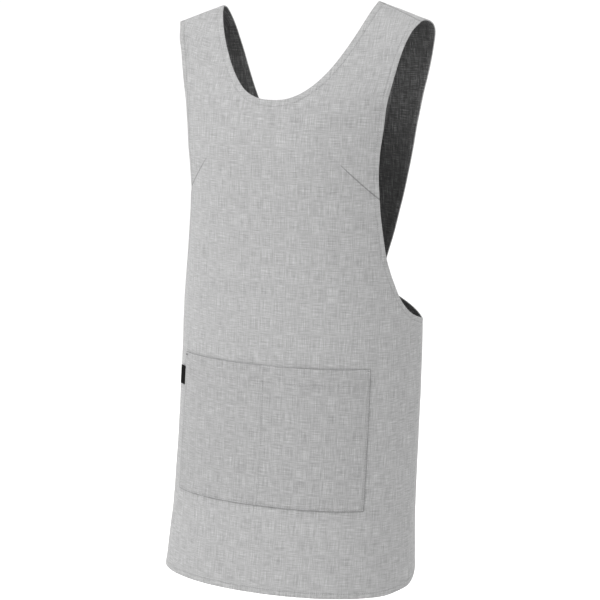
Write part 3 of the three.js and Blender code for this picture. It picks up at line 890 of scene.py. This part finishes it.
halves = [settle(front_half.copy()), settle(mirror_net(front_half))]
front_flat_half = flat_lie(front_half, NECK_ROW)
front_points, front_faces, front_used = join_halves(halves, NECK_ROW + 1)
mirrored_lie = front_flat_half * np.array([-1.0, 1.0])
both_lies = np.concatenate([front_flat_half.reshape(-1, 2), mirrored_lie.reshape(-1, 2)])
front_flat = both_lies[front_used]
neck_line = np.concatenate([halves[1][NECK_ROW:, 0][::-1], halves[0][NECK_ROW + 1:, 0]])
armhole_lines = [half[ARMHOLE_ROW:, -1] for half in halves]
bottom_line = np.concatenate([halves[1][0, ::-1], halves[0][0, 1:]])
side_lines = [half[:ARMHOLE_ROW + 1, -1] for half in halves]
shoulder_lines = [half[-1] for half in halves]
print("neckline:", len(neck_line), "places, armhole:", len(armhole_lines[0]))

# %% [markdown]
# The front's relief is its hems, its darts, a little unevenness, and one soft upright roll at the
# wearer's left side, where the photograph shows a pale band between two darker ones. The roll is
# 2.4 mm high, which is too fine for the solids, and dies out beside the armhole.

# %% Front panel, relief and mesh
DART_SPREAD = 4
DART_END = (0.7, 1.15)  # shares of its length over which a dart fades out at its tip
DART_START = (-0.5, -0.05)  # and over which it begins, at the armhole
DART_BEHIND = -0.6  # no dark line is drawn before this share
DART_LEAST = 0.02
ROLL_DEPTH = 2.4
ROLL_FORWARD = -55
ROLL_SPREAD = 17
ROLL_SIDE = (168, 184)  # the roll rises between these places across
ROLL_TOP = (-250, -330)  # and between these heights
front_hems = [(neck_line, NECK_HEM), (bottom_line, BOTTOM_HEM)]
front_hems += [(line, ARMHOLE_HEM) for line in armhole_lines]
front_stitch = stitch_distance(front_points, front_hems)
front_seam = np.minimum(*[distance_to_line(front_points, line) for line in side_lines])
for line in shoulder_lines:
    front_seam = np.minimum(front_seam, distance_to_line(front_points, line))


def place_on_chest(share, height):
    """The point of the left half that lies at this share of its half width, at this height."""
    target_rows = front_half[ARMHOLE_ROW:NECK_ROW + 1]
    widths = target_rows[:, -1, 0] * share
    found = []
    for row, width in zip(target_rows, widths):
        found.append([np.interp(width, row[:, 0], row[:, axis]) for axis in range(3)])
    found = np.array(found)
    return np.array([np.interp(height, found[:, 2], found[:, axis]) for axis in range(3)])


def dart_marks(points):
    """Signed distance from each dart's line, faded out past its tip."""
    mouth, tip = (place_on_chest(*place) for place in (DART_MOUTH, DART_TIP))
    sided = np.column_stack([np.abs(points[:, 0]), points[:, 1:]])
    line = tip - mouth
    length = np.linalg.norm(line)
    along = line / length
    across = unit(np.cross(along, [0, -1, 0]))
    offset = sided - mouth
    reached = offset @ along / length
    signed = offset @ across
    past = np.maximum(reached - 1, 0) * length
    return signed + np.sign(signed) * past * 2, reached


dart, dart_reach = dart_marks(front_points)
dart_fade = 1 - smooth_step(*DART_END, dart_reach)
dart_press = np.exp(-(dart / DART_SPREAD) ** 2) * dart_fade * smooth_step(*DART_START, dart_reach)
dart_mark = np.clip(dart / np.maximum(dart_fade, DART_LEAST), -FAR, FAR)
roll_offset = (front_points[:, 1] - ROLL_FORWARD) / ROLL_SPREAD
roll_reach = smooth_step(*ROLL_SIDE, front_points[:, 0])
roll_reach = roll_reach * smooth_step(*ROLL_TOP, front_points[:, 2])
side_roll = ROLL_DEPTH * np.exp(-roll_offset**2) * roll_reach
front_relief = sewn_relief(front_stitch, swell=0.35) - dart_press + side_roll
front_relief += unevenness(front_points, size=55, depth=0.5, seed=1)
front_marks = {"stitch": front_stitch, "seam": front_seam,
               "dart": np.where(dart_reach < DART_BEHIND, FAR, dart_mark)}
front_cloth = make_cloth("front_cloth", front_points, front_faces, front_flat, front_marks,
                         front_relief, sewn_wall(front_stitch), CLOTH_FINISHES)

# %% [markdown]
# The wraps mirror each other, and the wearer's right one lies outside. Each is made as the left
# one and turned over by its side. Their long edges have the same turned hem as the armholes,
# which shows from the front as a band along the straps, whose dark inside is painted shade
# and whose hem there is painted a little lighter.

# %% Back wraps
WRAP_COLUMNS = 60
wrap_share = np.linspace(0, 1, WRAP_COLUMNS + 1)[None, :]
STRAP_COUNT = 96
ROLL_COUNT = 14
STRAP_STEPS = np.linspace(0, 1, STRAP_COUNT + 1)[1:, None]
ROLL_STEPS = np.linspace(0, 1, ROLL_COUNT + 1)[1:, None]
ROLL_ROW = len(SKIRT_ROWS) + len(STRAP_STEPS) - 1


def make_wrap(name, side, outside):
    """One wrap. Returns it with its hemmed lines, inward columns first, for the stitches."""
    net = np.concatenate([
        wrap_skirt_points(SKIRT_ROWS, wrap_share, outside),
        wrap_strap_points(STRAP_STEPS, wrap_share, outside),
        roll_points(ROLL_STEPS, wrap_share, outside),
    ])
    flat = flat_lie(net, ROLL_ROW)
    net[..., 0] *= side
    flat[..., 0] *= side
    net = settle(net)
    points = net.reshape(-1, 3)
    faces = grid_faces(*net.shape[:2], side < 0)
    top_edge = net[len(SKIRT_ROWS) - 1:, 0]
    free_edge = net[:, -1]
    hems = [(top_edge, WRAP_HEM), (free_edge, WRAP_HEM), (net[0], BOTTOM_HEM)]
    stitch = stitch_distance(points, hems)
    seam = np.minimum(distance_to_line(points, net[:len(SKIRT_ROWS), 0]),
                      distance_to_line(points, net[-1]))
    relief = sewn_relief(stitch, swell=0.3)
    relief += unevenness(points, size=60, depth=0.6, seed=5 + side)
    marks = {"stitch": stitch, "seam": seam, "dart": np.full(len(points), float(FAR))}
    piece = make_cloth(name, points, faces, flat.reshape(-1, 2), marks, relief,
                       sewn_wall(stitch), CLOTH_FINISHES)
    return piece, net


wrap_left_cloth, wrap_left_net = make_wrap("wrap_left_cloth", 1, False)
wrap_right_cloth, wrap_right_net = make_wrap("wrap_right_cloth", -1, True)

# %% [markdown]
# The pocket is one patch, turned under on three sides, with a deeper hem along its mouth. It is
# sewn flat to the front along the sides, the bottom and the middle, and between those rows the
# mouth of each compartment stands off a little. Its edges carry the dart's mark, which draws the
# thin dark line of shade along the fold.

# %% On the front by length of cloth
ANGLE_STEPS = np.radians(np.arange(0, 111, 0.25))


def angle_at_length(length, height):
    """The angle that lies a length of cloth from centre front, row by row."""
    found = np.empty(np.broadcast(length, height).shape)
    for row, level in enumerate(np.broadcast_to(height, (found.shape[0], 1))[:, 0]):
        ring = body_point(ANGLE_STEPS, np.full(len(ANGLE_STEPS), level))
        walked = np.concatenate([[0], np.cumsum(np.linalg.norm(np.diff(ring, axis=0), axis=1))])
        lengths = np.broadcast_to(length, found.shape)[row]
        found[row] = np.sign(lengths) * np.interp(np.abs(lengths), walked, ANGLE_STEPS)
    return found


def on_front(length, height, standoff):
    """Places at a standoff from the face of the front. Length is one row, height one column."""
    angle = angle_at_length(length, height)
    turn, rise = math.radians(0.5), 2
    across = body_point(angle + turn, height) - body_point(angle - turn, height)
    up = body_point(angle, height + rise) - body_point(angle, height - rise)
    outward = unit(np.cross(across, up))
    return body_point(angle, height) + outward * standoff[..., None]


# %% Patch pocket
POCKET_COLUMNS = 140
POCKET_ROWS = 90
POCKET_EASE = 1.7
POCKET_WALL = 0.8
POCKET_FOLD = 1.3
POCKET_CLEAR = 0.25
EDGE_STITCH = 2.4
EDGE_SHADE = 0.4  # how far the dark line of the edge is drawn from it
POCKET_CUT = (0.31, 0.17)  # where the patch lies on the bolt, in metres
POCKET_CALM = 25  # the unevenness fades out this near to the sewn edges
POCKET_PRESS = 0.35
POCKET_SPREAD = 1.5
FOLD_EDGE = (7.5, 6.0)  # places from an edge over which the turned cloth ends
MOUTH_RISE = (0.25, 1)  # shares of the pocket's height over which it starts to stand off


def ends_dense(count):
    """Shares from 0 to 1, closer together at both ends."""
    even = np.linspace(0, 1, count + 1)
    return even - 0.12 * np.sin(even * math.tau) / math.tau * 4


pocket_share = ends_dense(POCKET_COLUMNS)[None, :] - 0.5
pocket_drop = ends_dense(POCKET_ROWS)[:, None]
pocket_rise = 1 - pocket_drop
half_stance = np.sin(math.pi * np.clip(np.abs(pocket_share) * 2, 0, 1)) ** 0.6
pocket_ease = POCKET_EASE * half_stance * smooth_step(*MOUTH_RISE, pocket_rise) ** 1.5
edge_side = POCKET_WIDTH * (0.5 - np.abs(pocket_share))
edge_bottom = POCKET_HEIGHT * pocket_rise
edge_mouth = POCKET_HEIGHT * pocket_drop
edge_near = np.minimum(edge_side, edge_bottom)
edge_line = np.abs(edge_near - EDGE_STITCH)
middle_line = np.abs(pocket_share * POCKET_WIDTH)
hem_line = np.abs(edge_mouth - POCKET_HEM)
pocket_lines = np.minimum(np.minimum(edge_line, middle_line), hem_line)
pocket_wall = POCKET_WALL + (POCKET_FOLD - POCKET_WALL) * np.maximum(
    smooth_step(*FOLD_EDGE, edge_near), smooth_step(POCKET_HEM + 0.8, POCKET_HEM - 0.8, edge_mouth))
pocket_lift = POCKET_CLEAR + pocket_ease + pocket_wall
pocket_lengths = POCKET_WIDTH * pocket_share
pocket_heights = -POCKET_DROP - POCKET_HEIGHT * pocket_drop
pocket_net = on_front(pocket_lengths, pocket_heights, pocket_lift)[::-1]
pocket_marks = {
    "stitch": pocket_lines[::-1].ravel(),
    "seam": np.full(pocket_net.shape[:2], float(FAR)).ravel(),
    "dart": (edge_near[::-1] + EDGE_SHADE + 0 * pocket_net[..., 0]).ravel(),
}
pocket_points = pocket_net.reshape(-1, 3)
pocket_flat = np.stack(np.broadcast_arrays(pocket_lengths, pocket_heights[::-1]), axis=-1) * MM
pocket_relief = unevenness(pocket_points, size=30, depth=0.35, seed=9)
pocket_relief *= np.clip(edge_near[::-1].ravel() / POCKET_CALM, 0, 1)
pocket_relief -= POCKET_PRESS * np.exp(-(pocket_marks["stitch"] / POCKET_SPREAD) ** 2)
pocket_cloth = make_cloth(
    "pocket_cloth", pocket_points, grid_faces(*pocket_net.shape[:2], False),
    pocket_flat.reshape(-1, 2) + np.array(POCKET_CUT), pocket_marks, pocket_relief,
    pocket_wall[::-1].ravel(), (pocket_shaded_finish, reverse_shade_finish))

# %% [markdown]
# The label is a short piece of black woven tape, caught in the pocket's left seam. It is bare.
# Its ribs run across, its outer end is a fold, and its free end lifts a little from the front.

# %% Side label
LABEL_LENGTH = 16
LABEL_HEIGHT = 29
LABEL_DROP = 24
LABEL_WALL = 0.8
LABEL_CLEAR = 0.35
LABEL_LIFT = 2.0
TAPE_PITCH = 0.0006


def make_tape_finish():
    finish, tree, shader = new_finish("black_woven_tape", roughness=0.8, specular=0.0, sheen=0.0)
    cut = add_node(tree, "ShaderNodeUVMap", uv_map="cut").outputs[0]
    ribs = ripples(tree, cut, 1, TAPE_PITCH)
    fibre = streaks(tree, cut, across=0.0004, along=0.004, turned=True, seed=4.0)
    shade = blend(tree, fibre, grey(0.004), grey(0.014))
    height = add_math(tree, "MULTIPLY_ADD", ribs, 0.6, fibre)
    connect(tree, shader, shade, height, strength=0.5, distance=0.0001)
    return finish


tape_finish = make_tape_finish()
label_across = np.linspace(0, 1, 15)[None, :]
label_up = np.linspace(0, 1, 25)[:, None]
label_lengths = -(POCKET_WIDTH / 2 + SEAM_GAP + LABEL_LENGTH * (1 - label_across))
label_heights = -POCKET_DROP - LABEL_DROP - LABEL_HEIGHT * (1 - label_up)
label_lift = LABEL_CLEAR + LABEL_WALL + LABEL_LIFT * (1 - label_across) ** 2 + 0 * label_up
label_net = on_front(label_lengths, label_heights, label_lift)
label_count = label_net.shape[0] * label_net.shape[1]
label_flat = np.stack(np.broadcast_arrays(label_lengths, label_heights), axis=-1) * MM
label_tape = make_cloth(
    "label_tape", label_net.reshape(-1, 3), grid_faces(*label_net.shape[:2], False),
    label_flat.reshape(-1, 2), {}, np.zeros(label_count), np.full(label_count, LABEL_WALL),
    (tape_finish, tape_finish))

# %% [markdown]
# Now the sewing. A row of stitches follows a line at a constant distance inside an edge, with a
# thread that dips into the cloth at both ends of every stitch. Geometry Nodes suit this well:
# the tree resamples a rough line by the stitch length, drops each point onto the cloth, turns a
# small thread along the line, and makes everything real. The thread colour is a mid grey.

# %% Thread finish
def make_thread_finish(name, dark, pale):
    finish, tree, shader = new_finish(name, roughness=0.55, specular=0.5, sheen=0.2)
    place = add_node(tree, "ShaderNodeTexCoord").outputs["Object"]
    spun = add_node(tree, "ShaderNodeTexNoise", {"Vector": place, "Scale": 900.0}).outputs["Fac"]
    shade = blend(tree, spun, grey(dark), grey(pale))
    connect(tree, shader, shade, spun, strength=0.4, distance=0.0001)
    return finish


grey_thread = make_thread_finish("grey_thread", dark=0.24, pale=0.42)
# The dark thread is painted shade on the inside rows of the wraps, and it also serves the right bar
# tack.
dark_thread = make_thread_finish("charcoal_thread", dark=0.02, pale=0.06)

# %% The stitching tree
STITCH_SOCKETS = (
    ("Geometry", "INPUT", "Geometry", None),
    ("Cloth", "INPUT", "Object", None),
    ("Pitch", "INPUT", "Float", 0.0032),
    ("Length", "INPUT", "Float", 0.0027),
    ("Thickness", "INPUT", "Float", 0.0005),
    ("Lift", "INPUT", "Float", 0.0001),
    ("Turn", "INPUT", "Float", 0.0),
    ("Thread", "INPUT", "Material", None),
    ("Seed", "INPUT", "Int", 7),
    ("Geometry", "OUTPUT", "Geometry", None),
)


def make_stitch_tree():
    tree, given, out = new_group("Row of stitches", STITCH_SOCKETS, "GeometryNodeTree")
    line = add_node(tree, "GeometryNodeMeshToCurve", {"Mesh": given.outputs["Geometry"]})
    row = add_node(tree, "GeometryNodeResampleCurve", {"Curve": line.outputs[0],
                   "Length": given.outputs["Pitch"]}, mode="LENGTH")
    cloth = add_node(tree, "GeometryNodeObjectInfo", {"Object": given.outputs["Cloth"]})
    here = add_node(tree, "GeometryNodeInputPosition").outputs[0]
    facing = add_node(tree, "GeometryNodeInputNormal").outputs[0]
    on_cloth, outward = (
        add_node(tree, "GeometryNodeSampleNearestSurface", {"Mesh": cloth.outputs["Geometry"],
                 "Value": value, "Sample Position": here}, data_type="FLOAT_VECTOR").outputs[0]
        for value in (here, facing))
    raised = add_node(tree, "ShaderNodeVectorMath", {0: outward, "Scale": given.outputs["Lift"]},
                      operation="SCALE").outputs[0]
    seat = add_node(tree, "ShaderNodeVectorMath", {0: on_cloth, 1: raised}, operation="ADD")
    seated = add_node(tree, "GeometryNodeSetPosition", {"Geometry": row.outputs[0],
                      "Position": seat.outputs[0]})
    tangent = add_node(tree, "GeometryNodeInputTangent").outputs[0]
    turned = add_node(tree, "FunctionNodeAxesToRotation", {"Primary Axis": outward,
                      "Secondary Axis": tangent}, primary_axis="Z", secondary_axis="X")
    spin = add_node(tree, "FunctionNodeAxisAngleToRotation", {"Angle": given.outputs["Turn"]})
    spun = add_node(tree, "FunctionNodeRotateRotation", {"Rotation": turned.outputs[0],
                    "Rotate By": spin.outputs[0]}, rotation_space="LOCAL")
    vary = add_node(tree, "FunctionNodeRandomValue", {2: 0.9, 3: 1.08,
                    "Seed": given.outputs["Seed"]}, data_type="FLOAT").outputs[1]
    length = add_node(tree, "ShaderNodeMath", {0: given.outputs["Length"], 1: vary},
                      operation="MULTIPLY").outputs[0]
    size = add_node(tree, "ShaderNodeCombineXYZ", {0: length, 1: given.outputs["Thickness"],
                    2: given.outputs["Thickness"]}).outputs[0]
    thread = add_node(tree, "GeometryNodeMeshUVSphere", {"Segments": 6, "Rings": 4, "Radius": 0.5})
    copies = add_node(tree, "GeometryNodeInstanceOnPoints", {"Points": seated.outputs[0],
                      "Instance": thread.outputs[0], "Rotation": spun.outputs[0], "Scale": size})
    real = add_node(tree, "GeometryNodeRealizeInstances", {0: copies.outputs[0]})
    finish = add_node(tree, "GeometryNodeSetMaterial", {"Geometry": real.outputs[0],
                      "Material": given.outputs["Thread"]})
    tree.links.new(finish.outputs[0], out.inputs[0])
    return tree


stitch_tree = make_stitch_tree()


def sew(name, lines, cloth, **settings):
    """Rows of stitches along lines of points in millimetres, as one plain mesh."""
    guide = bpy.data.meshes.new(name + "_guide")
    points = np.concatenate(lines) * MM
    ends = np.cumsum([0] + [len(line) for line in lines])
    edges = [(place, place + 1) for low, high in zip(ends[:-1], ends[1:])
             for place in range(low, high - 1)]
    guide.from_pydata(points.tolist(), edges, [])
    holder = new_object(name + "_guide", guide)
    modifier = holder.modifiers.new("stitches", "NODES")
    modifier.node_group = stitch_tree
    wanted = {"Cloth": cloth, "Thread": grey_thread, **settings}
    for item in stitch_tree.interface.items_tree:
        if item.in_out == "INPUT" and item.name in wanted:
            modifier[item.identifier] = wanted[item.name]
    evaluated = holder.evaluated_get(bpy.context.evaluated_depsgraph_get())
    mesh = bpy.data.meshes.new_from_object(evaluated)
    mesh.name = name
    mesh.polygons.foreach_set("use_smooth", np.ones(len(mesh.polygons), dtype=bool))
    bpy.data.objects.remove(holder)
    piece = new_object(name, mesh)
    print(name, "stitches:", len(mesh.polygons) // 24)
    return piece


# %% [markdown]
# The guides for the rows are the edges themselves, moved inwards along the cloth by the hem's
# width. Inwards is the direction towards the next column of the net, squared to the edge.


# %% Lines inside an edge
def inside_line(edge, inner, distance, trim=0):
    """The edge moved inwards by a distance. Inner is any line that lies further in."""
    tangent = unit(np.gradient(edge, axis=0))
    inward = inner - edge
    inward = unit(inward - (inward * tangent).sum(axis=1)[:, None] * tangent)
    moved = edge + inward * distance
    return moved[trim:len(moved) - trim]


SHOULDER_STITCH = 2.5
neck_rows = slice(NECK_ROW + 1, None)
neck_stitches = [inside_line(half[neck_rows, 0], half[neck_rows, 4], NECK_HEM) for half in halves]
neck_stitches = [np.concatenate([neck_stitches[1][::-1], neck_stitches[0]])]
armhole_stitches = [inside_line(half[ARMHOLE_ROW:, -1], half[ARMHOLE_ROW:, -5], ARMHOLE_HEM)
                    for half in halves]
bottom_stitches = [inside_line(half[0], half[6], BOTTOM_HEM) for half in halves]
shoulder_stitches = [inside_line(half[-1], half[-4], SHOULDER_STITCH, trim=2) for half in halves]
front_lines = neck_stitches + armhole_stitches + bottom_stitches + shoulder_stitches
front_rows = sew("front_topstitching", front_lines, front_cloth)

INSIDE_STEP = 4  # how far behind the face the inside rows are guided, to land on the reverse
wrap_rows = []
for label, net, cloth in (("left", wrap_left_net, wrap_left_cloth),
                          ("right", wrap_right_net, wrap_right_cloth)):
    top_rows = slice(len(SKIRT_ROWS) - 1, None)
    lines = [inside_line(net[top_rows, 0], net[top_rows, 6], WRAP_HEM),
             inside_line(net[:, -1], net[:, -7], WRAP_HEM),
             inside_line(net[0], net[6], BOTTOM_HEM)]
    wrap_rows.append(sew("wrap_" + label + "_topstitching", lines, cloth))
    faces = grid_faces(*net.shape[:2], label == "right")
    outward = vertex_normals(net.reshape(-1, 3), faces).reshape(net.shape)
    inner_lines = [lines[0] - outward[top_rows, 3] * INSIDE_STEP,
                   lines[1] - outward[:, -4] * INSIDE_STEP]
    # The inside rows take the dark thread as painted shade, matching the shaded reverse.
    wrap_rows.append(sew("wrap_" + label + "_inside_stitching", inner_lines, cloth,
                         Thread=dark_thread))

# %% Pocket stitching
side_column = int(np.abs(POCKET_WIDTH * (0.5 + pocket_share[0]) - EDGE_STITCH).argmin())
low_row = int(np.abs(edge_bottom[::-1, 0] - EDGE_STITCH).argmin())
hem_row = int(np.abs(edge_mouth[::-1, 0] - POCKET_HEM).argmin())
pocket_rows = sew("pocket_topstitching", [
    pocket_net[low_row:-1, side_column],
    pocket_net[low_row:-1, -1 - side_column],
    pocket_net[low_row, side_column:-side_column],
    pocket_net[low_row:-1, POCKET_COLUMNS // 2],
    pocket_net[hem_row, side_column:-side_column],
], pocket_cloth, Pitch=0.0028, Length=0.0024, Thickness=0.00042)

# %% [markdown]
# A bar tack is a tight bundle of thread across each upper corner of the pocket. The same tree
# makes it: a very short pitch, and each thread turned a quarter so that it lies across the bar.

# %% Bar tacks
TACK_LENGTH = 6
TACK_WIDTH = 2.2
TACK_INSET = 4
TACK_CLEAR = 2.2
TACK_POINTS = 7
tacks = {}
for side, label in ((1, "left"), (-1, "right")):
    middle = side * (POCKET_WIDTH / 2 - TACK_INSET)
    lengths = (middle + np.linspace(-0.5, 0.5, TACK_POINTS) * TACK_LENGTH)[None, :]
    clear = np.full((1, TACK_POINTS), TACK_CLEAR)
    bar = on_front(lengths, np.array([[-POCKET_DROP - TACK_INSET]]), clear)
    tacks[label] = sew("tack_" + label, [bar[0]], pocket_cloth, Pitch=0.00045,
                       Length=TACK_WIDTH * MM, Thickness=0.0007, Lift=0.00012,
                       Turn=math.radians(84), Thread=dark_thread if side < 0 else grey_thread)

# %% [markdown]
# Each piece moves with the root body, and the solid it stands for is hidden. The table also
# lists the flat size that each cloth was cut to. The front's cut is as wide as the hem, and a
# wrap's is as wide as it reaches round the back.

# %% Bodies, nodes and sheets
SHEETS = (
    (front_cloth, "front_panel", (0.8, 0.93), 0.43, "hung", (), (front_rows,)),
    (wrap_left_cloth, "back_wrap_left", (0.45, 0.93), 0.162, "hung",
     ("front_cloth",), wrap_rows[:2]),
    (wrap_right_cloth, "back_wrap_right", (0.45, 0.93), 0.162, "hung",
     ("front_cloth", "wrap_left_cloth"), wrap_rows[2:]),
    (pocket_cloth, "patch_pocket", (0.355, 0.255), None, "stretched", ("front_cloth",),
     (pocket_rows,)),
    (label_tape, "side_label", (0.016, 0.029), None, "hung", ("front_cloth",), ()),
)
for piece, node_name, flat_size, area, held, rests_on, going_with in SHEETS:
    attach(piece, "root")
    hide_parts(node_name)
for piece in (front_rows, pocket_rows, *wrap_rows):
    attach(piece, "root")
for label, piece in tacks.items():
    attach(piece, "root")
    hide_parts("pocket_tack_" + label)

# %% [markdown]
# The studio is a wide pale floor, well below the hem because the apron hangs at shoulder height,
# under soft white light from all round. A large key light stands in front on the wearer's right,
# which gives the photograph's slow fall from pale on that side to mid grey on the other. A weak
# fill opposite keeps that side from going dull, a top light catches the shoulders, and a rear
# light reaches the inside of the straps.

# %% Floor and light
FLOOR_DROP = 1.45
FLOOR_SIZE = 120
AIR_STRENGTH = 1.12
LIGHT_AIM = Vector((0, 0, -0.45))
floor_mesh = bpy.data.meshes.new("studio_floor")
reach = FLOOR_SIZE / 2
corners = [(-reach, -reach), (reach, -reach), (reach, reach), (-reach, reach)]
floor_mesh.from_pydata([(x, y, -FLOOR_DROP) for x, y in corners], [], [(0, 1, 2, 3)])
floor = new_object("studio_floor", floor_mesh)
floor_finish, _, floor_shader = new_finish("pale_floor", roughness=0.9, specular=0.5, sheen=0.0)
floor_shader.inputs["Base Color"].default_value = grey(0.95)
floor_mesh.materials.append(floor_finish)

world = bpy.data.worlds.new("studio_air")
world.use_nodes = True
air = world.node_tree.nodes["Background"]
air.inputs["Color"].default_value = grey(1.0)
air.inputs["Strength"].default_value = AIR_STRENGTH
bpy.context.scene.world = world
bpy.context.scene.view_settings.view_transform = "Standard"

LIGHTS = (  # name, place, size in metres, power in watts
    ("key", (-3.0, -2.5, 1.3), 2.2, 124),
    ("top", (0.2, -0.8, 2.6), 2.0, 34),
    ("rear", (-0.8, 3.1, 1.2), 2.4, 40),
    ("fill", (2.5, -2.25, 0.9), 2.0, 29),
)
for name, place, size, power in LIGHTS:
    lamp = bpy.data.lights.new(name + "_light", "AREA")
    lamp.shape = "SQUARE"
    lamp.size = size
    lamp.energy = power
    holder = new_object(name + "_light", lamp)
    holder.location = place
    aim = LIGHT_AIM - Vector(place)
    holder.rotation_euler = aim.to_track_quat("-Z", "Y").to_euler()
